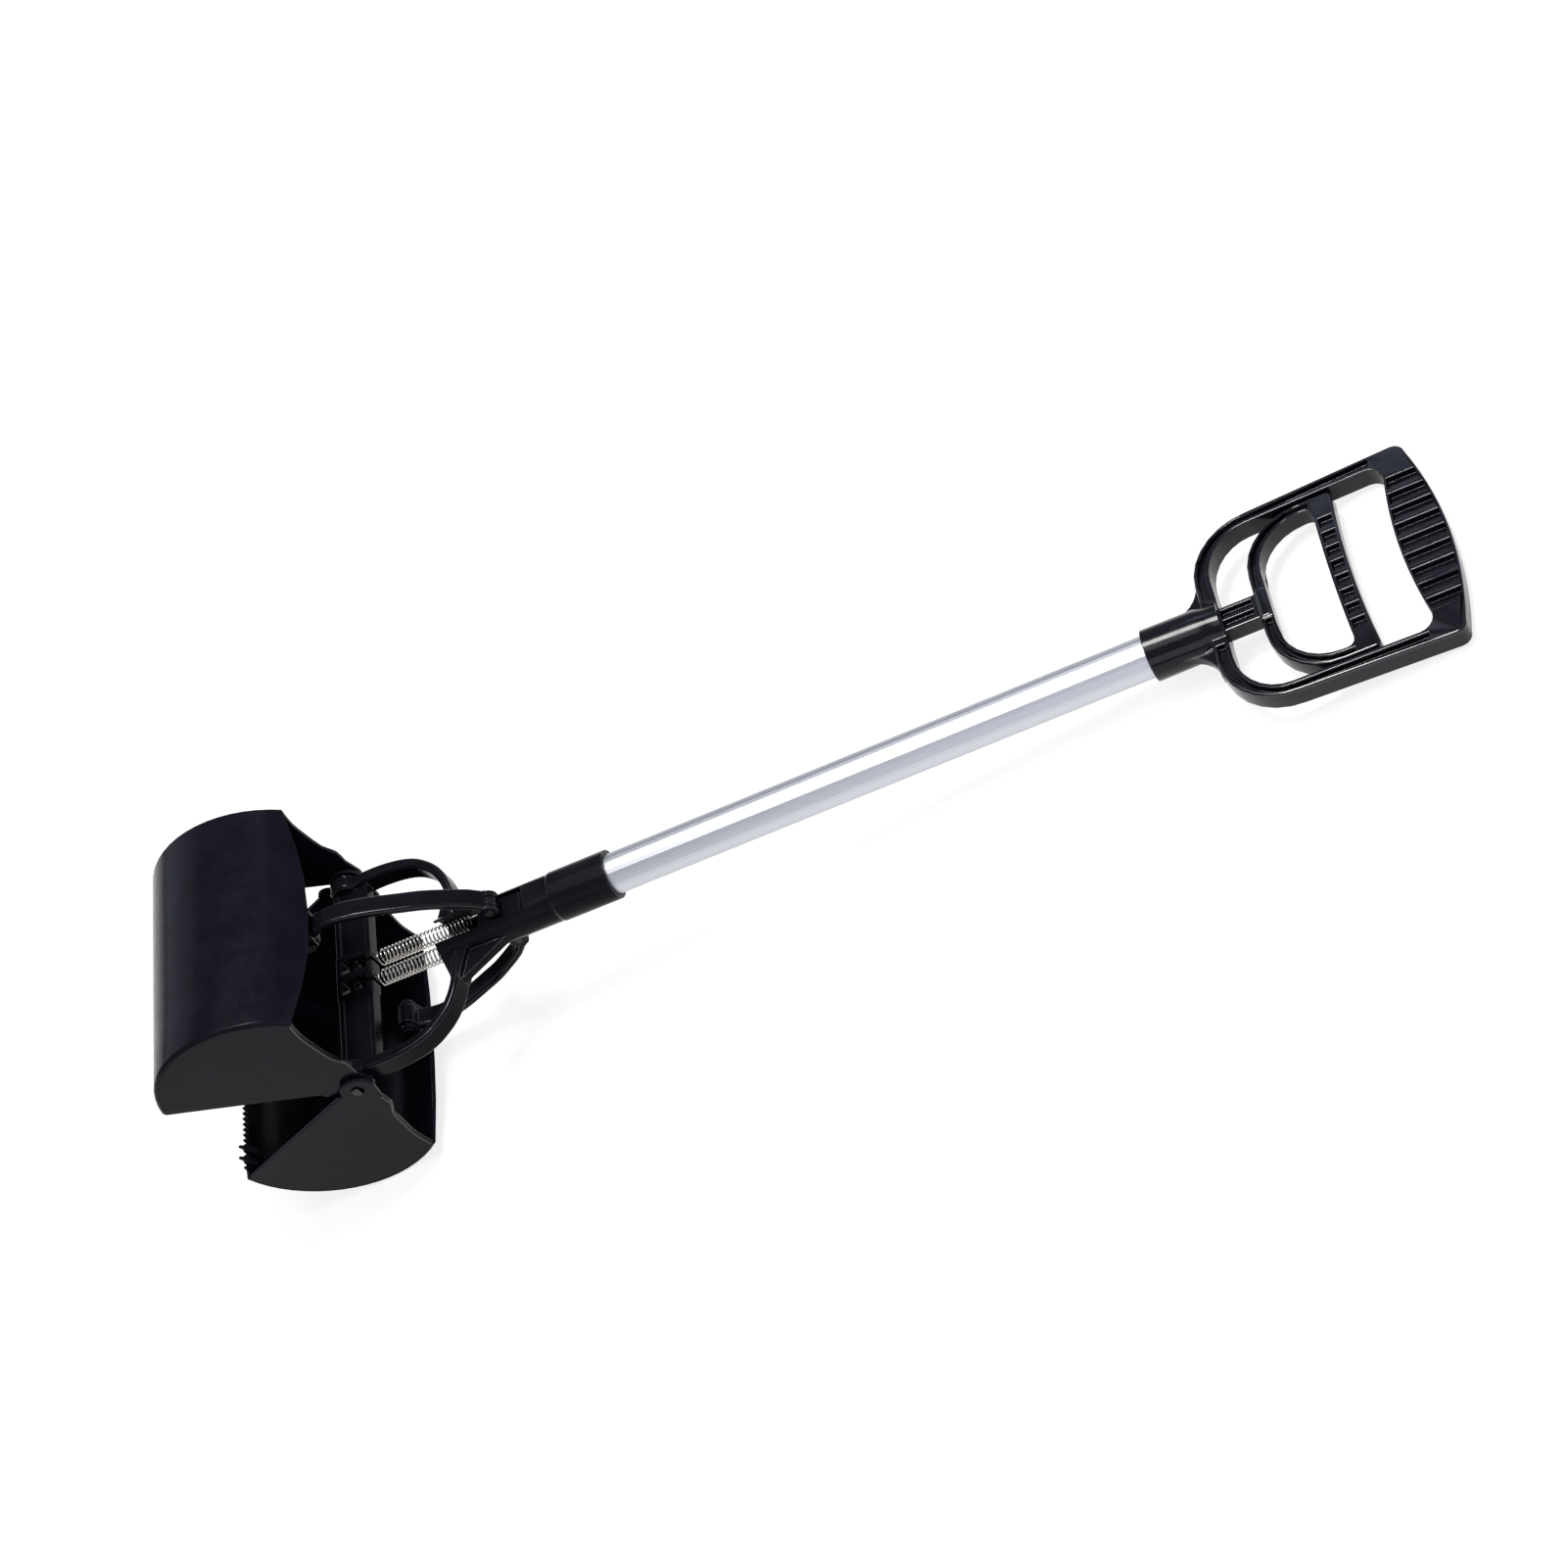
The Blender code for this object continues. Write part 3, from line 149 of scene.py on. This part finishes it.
# Injection moulded ABS from a polished mould: black and glossy, its edges painted a little paler, partly
# as wear and partly as a painted highlight along them
def mouldedAbs(name, values):
    material, tree, shader, place = newMaterial(name)
    cloud = noiseAt(tree, place, values["cloudMm"], values["cloudDetail"])
    cloud = remap(tree, cloud, values["cloudRange"], (0, 1))
    body = mixColours(tree, cloud, values["colour"], values["paler"])
    # Convex edges painted paler: partly wear, partly a painted highlight along the edges
    corner = addNode(tree, "ShaderNodeNewGeometry").outputs["Pointiness"]
    edgeWearAndHighlight = remap(tree, corner, values["edgeWearAndHighlightRange"], (0, values["edgeWearAndHighlightShare"]))
    body = mixColours(tree, edgeWearAndHighlight, body, values["edgeWearAndHighlight"])
    tree.links.new(body, shader.inputs["Base Color"])
    handling = noiseAt(tree, place, values["handlingMm"], values["handlingDetail"])
    rough = remap(tree, handling, values["handlingRange"], values["rough"])
    tree.links.new(rough, shader.inputs["Roughness"])
    ripple = noiseAt(tree, place, values["rippleMm"], values["rippleDetail"])
    ripple = bumpFrom(tree, ripple, values["rippleDepthMm"], values["rippleStrength"])
    tree.links.new(ripple, shader.inputs["Normal"])
    shader.inputs["IOR"].default_value = values["ior"]
    shader.inputs["Specular IOR Level"].default_value = values["shine"]
    return material


# The jaws' broad backs show faint clouds of tone, marks of handling and the mould's slight ripple
jawAbs = {
    "colour": "#0e0c14",
    "paler": "#13111a",
    # the paler edge colour: partly wear, partly a painted highlight
    "edgeWearAndHighlight": "#3a3940",
    "edgeWearAndHighlightShare": 0.5,
    "edgeWearAndHighlightRange": (0.53, 0.62),
    "rough": (0.16, 0.26),
    "shine": 0.06,  # far below the usual 0.5, as these blacks reflect little of the room
    "ior": 1.53,
    "cloudMm": 18,
    "cloudDetail": 3,
    "cloudRange": (0.35, 0.65),
    "handlingMm": 6,
    "handlingDetail": 4,
    "handlingRange": (0.35, 0.7),
    "rippleMm": 1.6,
    "rippleDetail": 1,
    "rippleDepthMm": 0.02,
    "rippleStrength": 0.5,
}
yokeAbs = dict(jawAbs, colour="#0c0c10", paler="#121217", shine=0.05, rough=(0.14, 0.24))
handleAbs = dict(jawAbs, colour="#0c0c11", paler="#13131a", shine=0.2, rough=(0.1, 0.18))
# Rounded edges come off the mould brightest, and the lips are painted a little paler and brown, as a
# painted highlight along them
edgeAbs = dict(jawAbs, colour="#101014", paler="#17171c", shine=0.6, rough=(0.08, 0.14))
softEdgeAbs = dict(edgeAbs, shine=0.24)
# the lips' pale brown colour is a painted highlight
highlitLipAbs = dict(jawAbs, colour="#2a211a", paler="#382d24", shine=0.3, rough=(0.1, 0.16))


# Drawn and clear anodised aluminium: satin, with fine lines along the tube
def anodisedTube(name, values):
    material, tree, shader, place = newMaterial(name)
    drawn = noiseAt(tree, place, values["lineMm"], values["detail"], values["stretch"])
    tone = remap(tree, drawn, values["lineRange"], (0, 1))
    colour = mixColours(tree, tone, values["colour"], values["paler"])
    tree.links.new(colour, shader.inputs["Base Color"])
    rough = remap(tree, drawn, values["lineRange"], values["rough"])
    tree.links.new(rough, shader.inputs["Roughness"])
    lines = bumpFrom(tree, drawn, values["lineDepthMm"], values["lineStrength"])
    tree.links.new(lines, shader.inputs["Normal"])
    shader.inputs["Metallic"].default_value = 1
    return material


anodised = {
    "colour": "#c2c4ca",
    "paler": "#cacccf",
    "rough": (0.42, 0.47),
    "lineMm": 0.3,  # real drawing lines are finer, and are drawn this coarse so that they show
    "detail": 3,
    "stretch": (0.012, 1, 1),
    "lineRange": (0.3, 0.7),
    "lineDepthMm": 0.001,
    "lineStrength": 0.3,
}


# Metal with a fine uneven finish: oiled black oxide on the pins, bright drawn wire on the springs
def fineMetal(name, values):
    material, tree, shader, place = newMaterial(name)
    grain = noiseAt(tree, place, values["grainMm"], values["detail"])
    tone = remap(tree, grain, values["toneRange"], (0, 1))
    colour = mixColours(tree, tone, values["colour"], values["other"])
    tree.links.new(colour, shader.inputs["Base Color"])
    rough = remap(tree, grain, values["roughRange"], values["rough"])
    tree.links.new(rough, shader.inputs["Roughness"])
    shader.inputs["Metallic"].default_value = 1
    return material


blackOxide = {
    "colour": "#2b2b2e",
    "other": "#3a3a3d",
    "rough": (0.26, 0.4),
    "grainMm": 1.2,
    "detail": 3,
    "toneRange": (0.35, 0.65),
    "roughRange": (0.3, 0.7),
}
drawnWire = dict(blackOxide, colour="#c2beb8", other="#aaa69f", rough=(0.14, 0.24), grainMm=1.5)


# Natural nylon, as moulded: milky and slightly soft looking
def naturalNylon(name, values):
    material, tree, shader, place = newMaterial(name)
    cloud = noiseAt(tree, place, values["cloudMm"], values["detail"])
    colour = mixColours(tree, cloud, values["colour"], values["darker"])
    tree.links.new(colour, shader.inputs["Base Color"])
    shader.inputs["Roughness"].default_value = values["rough"]
    shader.inputs["Subsurface Weight"].default_value = values["milkiness"]
    shader.inputs["Subsurface Radius"].default_value = [values["glowMm"] * mm] * 3
    return material


nylon = {
    "colour": "#e2e0d8",
    "darker": "#d2d0c6",
    "rough": 0.45,
    "cloudMm": 3,
    "detail": 2,
    "milkiness": 0.15,
    "glowMm": 2,
}

finishes = {
    "jawAbs": mouldedAbs("jawMouldedAbs", jawAbs),
    "yokeAbs": mouldedAbs("yokeMouldedAbs", yokeAbs),
    "handleAbs": mouldedAbs("handleMouldedAbs", handleAbs),
    "edgeAbs": mouldedAbs("polishedEdgeAbs", edgeAbs),
    "softEdgeAbs": mouldedAbs("softEdgeAbs", softEdgeAbs),
    "highlitLipAbs": mouldedAbs("paintedHighlightLipAbs", highlitLipAbs),
    "tube": anodisedTube("anodisedAluminium", anodised),
    "oxide": fineMetal("blackOxideSteel", blackOxide),
    "wire": fineMetal("drawnSpringWire", drawnWire),
    "nylon": naturalNylon("naturalNylon", nylon),
}
print("materials made:", len(finishes))


# The tool lies tilted: its own axes run along the pole from the jaws' hinge
joints = {joint["name"]: joint for joint in frame["record"]["behaviour"]["joints"]}
hingeAt = Vector(joints["upper_jaw_swing"]["pos_m"])
along = Vector(joints["trigger_pull"]["axis"]).normalized()
tilt = math.atan2(-along.z, along.x)
toolPlace = Matrix.Translation(hingeAt) @ Matrix.Rotation(tilt, 4, "Y")


def addPiece(name, mesh, finish, smoothDegrees):
    data = bpy.data.meshes.new(name)
    mesh.to_mesh(data)
    mesh.free()
    data.shade_smooth()
    data.set_sharp_from_angle(angle=math.radians(smoothDegrees))
    data.materials.append(finish)
    piece = bpy.data.objects.new(name, data)
    bpy.context.scene.collection.objects.link(piece)
    return piece


# How every rounded copy is made; joinMm and sliverMm clear the fine slivers of the frame's meshes
rounding = {
    "sharpDegrees": 32,
    "smoothDegrees": 42,
    "profile": 0.5,
    "flatWeight": 100,
    "joinMm": 0.003,
    "sliverMm": 0.01,
}


def keepFlatsFlat(piece):
    weigh = piece.modifiers.new("keepFlatsFlat", "WEIGHTED_NORMAL")
    weigh.mode = "FACE_AREA"
    weigh.weight = rounding["flatWeight"]
    weigh.keep_sharp = True


def sharpEdges(mesh):
    least = math.radians(rounding["sharpDegrees"])
    return [edge for edge in mesh.edges if len(edge.link_faces) == 2 and edge.calc_face_angle(0) > least]


def roundOff(mesh, edges, edgeMm, segments):
    made = bmesh.ops.bevel(
        mesh,
        geom=edges,
        offset=edgeMm * mm,
        segments=segments,
        profile=rounding["profile"],
        affect="EDGES",
        clamp_overlap=False,
        harden_normals=False,
    )
    return made["faces"]


# The shape of a frame node again, with its edges rounded off as a mould leaves them
def roundedCopy(nodeName, body, finish, edgeMm, segments, edgeFinish=None):
    mesh = bmesh.new()
    mesh.from_mesh(nodes[nodeName].data)
    bmesh.ops.remove_doubles(mesh, verts=mesh.verts, dist=rounding["joinMm"] * mm)
    bmesh.ops.dissolve_degenerate(mesh, edges=mesh.edges, dist=rounding["sliverMm"] * mm)
    for face in mesh.faces:
        face.material_index = 0
    if nodeName in jawTurns:
        for face in roundOff(mesh, jawSeams(mesh, nodeName), jaw["seamMm"], jaw["seamSegments"]):
            face.material_index = 1
    for face in roundOff(mesh, sharpEdges(mesh), edgeMm, segments):
        if edgeFinish:
            face.material_index = 1
    piece = addPiece(nodeName + "Dressed", mesh, finishes[finish], rounding["smoothDegrees"])
    piece.data.materials.append(finishes[edgeFinish or "edgeAbs"])
    keepFlatsFlat(piece)
    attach(piece, body)
    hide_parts(nodeName)


# The jaws' own sizes, as the frame has them: one shape turned to make the two
jaw = {
    "backRadiusMm": 60.5,
    "centreMm": (-41.5, 8.9),
    "rearDegrees": 71.1,
    "faceMm": (69.5, -66.7),
    "openDegrees": 22.3,
    "seamMm": 1.0,
    "seamSegments": 4,
    "seamSpareMm": 0.25,
}
jawOpen = math.radians(jaw["openDegrees"])
jawTurns = {
    "upper_jaw": Matrix.Rotation(jawOpen, 4, "Y"),
    "lower_jaw": Matrix.Rotation(-jawOpen, 4, "Y") @ Matrix.Rotation(math.pi, 4, "X"),
}


# The outer edges where a jaw's curved back meets its end plates
def jawSeams(mesh, jawName):
    toJaw = (toolPlace @ jawTurns[jawName]).inverted()
    centreX, centreZ = jaw["centreMm"]

    def onSeam(vertex):
        place = toJaw @ vertex.co / mm
        out = math.hypot(place.x - centreX, place.z - centreZ) - jaw["backRadiusMm"]
        aside = min(abs(place.y - face) for face in jaw["faceMm"])
        return max(abs(out), aside) < jaw["seamSpareMm"]

    return [edge for edge in sharpEdges(mesh) if all(onSeam(vertex) for vertex in edge.verts)]


# Each moulding's finish and how wide its edges are rounded; edgeFinish is for those edges alone
handleMould = {"finish": "handleAbs", "edgeMm": 0.5, "segments": 3, "edgeFinish": "edgeAbs"}
yokeMould = {"finish": "yokeAbs", "edgeMm": 0.4, "segments": 2, "edgeFinish": "softEdgeAbs"}
linkMould = {"finish": "yokeAbs", "edgeMm": 0.5, "segments": 3, "edgeFinish": "softEdgeAbs"}
jawMould = {"finish": "jawAbs", "edgeMm": 0.3, "segments": 2}
washerMould = {"finish": "edgeAbs", "edgeMm": 0.35, "segments": 2}
rounded = {
    "handle_frame": ("frame", handleMould),
    "yoke": ("frame", yokeMould),
    "trigger": ("puller", handleMould),
    "crosshead": ("puller", yokeMould),
    "upper_link": ("upper_link", linkMould),
    "lower_link": ("lower_link", linkMould),
    "upper_jaw": ("upper_jaw", jawMould),
    "lower_jaw": ("lower_jaw", jawMould),
    "hinge_washer_left": ("frame", washerMould),
    "hinge_washer_right": ("frame", washerMould),
}
for nodeName, (body, mould) in rounded.items():
    roundedCopy(nodeName, body, **mould)
print("rounded copies made:", len(rounded))

plainFinish = {
    "pole_tube": "tube",
    "rod_bush_lower": "nylon",
    "rod_bush_upper": "nylon",
}
for nodeName, node in nodes.items():
    if nodeName in rounded:
        continue
    node.data.materials.clear()
    node.data.materials.append(finishes[plainFinish.get(nodeName, "oxide")])
print("frame nodes given their finishes")


# Springs: drawn wire with a hook at each end, stretched so that their turns stand apart
spring = {
    "wireMm": 0.9,
    "coilRadiusMm": 4.2,
    "sideMm": 6.5,
    "startMm": 18.5,
    "endMm": 73.0,
    "turns": 24,
    "pointsPerTurn": 16,
    "anchorMm": 4.0,
    "barMm": 86.5,
    "hookRadiusMm": 2.6,
    "hookTailMm": 1.2,
    "leadMm": 1.6,
    "pinRadiusMm": 1.5,
    "clearMm": 0.05,
    # From hook to coil, each step as shares of leadMm back and aside, and of the rise
    "leadShares": ((4, 0.1, 0.35), (2.6, 0.5, 0.8), (1.3, 0.55, 0.98), (0.45, 0.28, 1)),
    "wireSides": 10,
    "hookSteps": 12,
    "smoothDegrees": 60,
}


def springHook(pinMm, coilMm, side, facing):
    radius = spring["hookRadiusMm"]
    gap = spring["wireMm"] / 2 + spring["pinRadiusMm"] + spring["clearMm"]
    middle = pinMm + facing * (radius - gap)
    points = [Vector((middle + facing * spring["hookTailMm"], side, -radius))]
    for step in range(spring["hookSteps"] + 1):
        angle = -math.pi / 2 - math.pi * step / spring["hookSteps"]
        x = middle + facing * radius * math.cos(angle)
        points.append(Vector((x, side, radius * math.sin(angle))))
    rise = spring["coilRadiusMm"] - radius
    for back, out, up in spring["leadShares"]:
        x = coilMm - facing * spring["leadMm"] * back
        points.append(Vector((x, side + facing * spring["leadMm"] * out, radius + rise * up)))
    return points


def springLine(side):
    coil = []
    steps = spring["turns"] * spring["pointsPerTurn"]
    for step in range(steps + 1):
        angle = math.pi / 2 + math.tau * step / spring["pointsPerTurn"]
        x = spring["startMm"] + (spring["endMm"] - spring["startMm"]) * step / steps
        y = side + spring["coilRadiusMm"] * math.cos(angle)
        coil.append(Vector((x, y, spring["coilRadiusMm"] * math.sin(angle))))
    near = springHook(spring["anchorMm"], spring["startMm"], side, 1)
    far = springHook(spring["barMm"], spring["endMm"], side, -1)
    return near + coil + far[::-1]


# A round tube along a line of points in millimetres, which place turns into the frame
def tubeAlong(mesh, line, radiusMm, sides, place):
    rings = []
    across = None
    for index, point in enumerate(line):
        ahead = line[min(index + 1, len(line) - 1)] - line[max(index - 1, 0)]
        ahead.normalize()
        if across is None:
            across = ahead.orthogonal()
        across = (across - ahead * across.dot(ahead)).normalized()
        other = ahead.cross(across)
        ring = []
        for step in range(sides):
            angle = math.tau * step / sides
            offset = (across * math.cos(angle) + other * math.sin(angle)) * radiusMm
            ring.append(mesh.verts.new(place @ ((point + offset) * mm)))
        rings.append(ring)
    for first, second in zip(rings, rings[1:]):
        for step in range(sides):
            after = (step + 1) % sides
            mesh.faces.new((first[step], first[after], second[after], second[step]))
    mesh.faces.new(rings[0][::-1])
    mesh.faces.new(rings[-1])


for sign, springNode in ((1, "spring_left"), (-1, "spring_right")):
    mesh = bmesh.new()
    line = springLine(sign * spring["sideMm"])
    tubeAlong(mesh, line, spring["wireMm"] / 2, spring["wireSides"], toolPlace)
    wire = addPiece(springNode + "Wire", mesh, finishes["wire"], spring["smoothDegrees"])
    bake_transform(wire)
    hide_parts(springNode)
print("springs wound")


# A rounded lip along the rear edge of each jaw's end plates
lip = {
    "radiusMm": 0.75,
    "proudMm": 0.35,
    "insetMm": 0.9,
    "cornerMm": 2,
    # Points down the rear edge, as shares of where its outer corner lies from the hinge
    "edgeShares": ((0.863, 0.815), (0.639, 0.649), (0.347, 0.46), (0.043, 0.354), (-0.11, 0.211)),
    "stepsPerSpan": 6,
    "sides": 12,
    "smoothDegrees": 40,
}


# A smooth curve through the points, with the same number of steps in each span
def smoothLine(points, steps):
    known = [2 * points[0] - points[1], *points, 2 * points[-1] - points[-2]]
    line = []
    for index in range(1, len(known) - 2):
        before, first, second, after = known[index - 1 : index + 3]
        for step in range(steps):
            t = step / steps
            flow = 2 * first + (second - before) * t
            bend = (2 * before - 5 * first + 4 * second - after) * t**2
            twist = (3 * first - before - 3 * second + after) * t**3
            line.append((flow + bend + twist) / 2)
    return line + [known[-2]]


def lipLine(faceMm):
    angle = math.radians(jaw["rearDegrees"])
    centreX, centreZ = jaw["centreMm"]
    radius = jaw["backRadiusMm"] - lip["cornerMm"]
    corner = Vector((centreX + radius * math.cos(angle), 0, centreZ + radius * math.sin(angle)))
    marks = [corner] + [Vector((corner.x * u, 0, corner.z * v)) for u, v in lip["edgeShares"]]
    side = 1 if faceMm > 0 else -1
    line = []
    for point in smoothLine(marks, lip["stepsPerSpan"]):
        inward = (Vector((centreX, 0, centreZ)) - point).normalized() * lip["insetMm"]
        height = faceMm + side * (lip["proudMm"] - lip["radiusMm"])
        line.append(point + inward + Vector((0, height, 0)))
    return line


for jawName, turn in jawTurns.items():
    mesh = bmesh.new()
    for faceMm in jaw["faceMm"]:
        tubeAlong(mesh, lipLine(faceMm), lip["radiusMm"], lip["sides"], toolPlace @ turn)
    # The lips' paler brown finish is a painted highlight along them
    bead = addPiece(jawName + "Lips", mesh, finishes["highlitLipAbs"], lip["smoothDegrees"])
    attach(bead, jawName)
print("lips laid along the jaws")


# The domed head of the hinge pin on the far side, as (radius, height along the hinge axis)
hingeHead = {
    "profileMm": (
        (0, 72.3),
        (2.6, 72.2),
        (4.8, 71.8),
        (6.4, 71.1),
        (7.2, 70.3),
        (7.3, 69.9),
        (7.1, 69.65),
        (0, 69.65),
    ),
    "sides": 48,
    "smoothDegrees": 40,
}


def turnHingeHead():
    mesh = bmesh.new()
    rings = []
    sides = hingeHead["sides"]
    for radius, height in hingeHead["profileMm"]:
        ring = []
        for step in range(sides if radius else 1):
            angle = math.tau * step / sides
            point = Vector((radius * math.cos(angle), height, radius * math.sin(angle)))
            ring.append(mesh.verts.new(toolPlace @ (point * mm)))
        rings.append(ring)
    for first, second in zip(rings, rings[1:]):
        for step in range(sides):
            after = (step + 1) % sides
            corners = [first[step % len(first)], second[step % len(second)]]
            corners += [second[after % len(second)], first[after % len(first)]]
            mesh.faces.new(list(dict.fromkeys(corners)))
    bmesh.ops.recalc_face_normals(mesh, faces=mesh.faces)
    piece = addPiece("hingeHead", mesh, finishes["oxide"], hingeHead["smoothDegrees"])
    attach(piece, "frame")


turnHingeHead()
print("hinge head turned")


# Room: a pale floor that shows white to the camera and in reflections, and soft lamps
room = {
    "floorSize": 30.0,
    "floor": "#9a9a9a",
    "floorGlow": 0.8,
    "worldColour": "#dfe5f2",
    "worldLight": 0.3,
}


def showsBackground(tree):
    rays = addNode(tree, "ShaderNodeLightPath")
    either = rays.outputs["Is Camera Ray"]
    for name in ("Is Glossy Ray", "Is Transmission Ray"):
        links = {0: either, 1: rays.outputs[name]}
        either = addNode(tree, "ShaderNodeMath", {"operation": "MAXIMUM"}, links).outputs[0]
    return either


def makeFloor():
    mesh = bmesh.new()
    bmesh.ops.create_grid(mesh, x_segments=1, y_segments=1, size=room["floorSize"] / 2)
    data = bpy.data.meshes.new("floor")
    mesh.to_mesh(data)
    mesh.free()
    floor = bpy.data.objects.new("floor", data)
    bpy.context.scene.collection.objects.link(floor)
    material = bpy.data.materials.new("paleFloor")
    material.use_nodes = True
    tree = material.node_tree
    tree.nodes.clear()
    matt = addNode(tree, "ShaderNodeBsdfDiffuse", {"Color": linear(room["floor"])})
    glow = addNode(tree, "ShaderNodeEmission", {"Color": (1, 1, 1, 1), "Strength": room["floorGlow"]})
    both = addNode(tree, "ShaderNodeAddShader", {}, {0: matt.outputs[0], 1: glow.outputs[0]})
    links = {0: showsBackground(tree), 1: matt.outputs[0], 2: both.outputs[0]}
    choose = addNode(tree, "ShaderNodeMixShader", {}, links)
    output = addNode(tree, "ShaderNodeOutputMaterial")
    tree.links.new(choose.outputs[0], output.inputs["Surface"])
    data.materials.append(material)


def makeWorld():
    world = bpy.data.worlds.new("studio")
    bpy.context.scene.world = world
    world.use_nodes = True
    tree = world.node_tree
    tree.nodes.clear()
    colour = linear(room["worldColour"])
    light = addNode(tree, "ShaderNodeBackground", {"Color": colour, "Strength": room["worldLight"]})
    output = addNode(tree, "ShaderNodeOutputWorld")
    tree.links.new(light.outputs[0], output.inputs["Surface"])


lamps = {
    "overheadLamp": {
        "place": (-0.1, 0.17, 1.9),
        "aim": (-0.1, 0.17, 0),
        "size": (1.1, 1.7),
        "watts": 12.5,
        "colour": "#ffffff",
    },
    "handleStrip": {
        "place": (0.33, 0.33, 1.6),
        "aim": (0.33, 0.2, 0),
        "size": (0.45, 0.5),
        "watts": 22,
        "colour": "#ffffff",
    },
    "handleLamp": {
        "place": (0.55, 1.52, 1.4),
        "aim": (0.4, 0, 0),
        "size": (0.6, 0.6),
        "watts": 2,
        "colour": "#d3ddff",
    },
    "frontLamp": {
        "place": (0.75, -2.3, 1.0),
        "aim": (0.3, 0, 0),
        "size": (2.2, 1.2),
        "watts": 13.5,
        "colour": "#f0eeff",
    },
    "frontLeftLamp": {
        "place": (-1.3, -2.3, 1.0),
        "aim": (-0.3, 0, 0),
        "size": (1.9, 1.2),
        "watts": 5,
        "colour": "#ffffff",
    },
    "backLeftLamp": {
        "place": (-1.7, 1.4, 1.0),
        "aim": (-0.25, 0, 0.1),
        "size": (1.5, 1.2),
        "watts": 4.8,
        "colour": "#d2dce8",
    },
    "glintLamp": {
        "place": (0, -0.25, 1.7),
        "aim": (0, 0, 0),
        "size": (0.2, 0.2),
        "watts": 3,
        "colour": "#ffffff",
    },
}


def makeLamp(name, values):
    data = bpy.data.lights.new(name, "AREA")
    data.shape = "RECTANGLE"
    data.size, data.size_y = values["size"]
    data.energy = values["watts"]
    data.color = linear(values["colour"])[:3]
    lamp = bpy.data.objects.new(name, data)
    bpy.context.scene.collection.objects.link(lamp)
    lamp.location = values["place"]
    lamp.visible_camera = False
    away = Vector(values["place"]) - Vector(values["aim"])
    lamp.rotation_euler = away.to_track_quat("Z", "Y").to_euler()


makeFloor()
makeWorld()
for lampName, lampValues in lamps.items():
    makeLamp(lampName, lampValues)
print("room made")
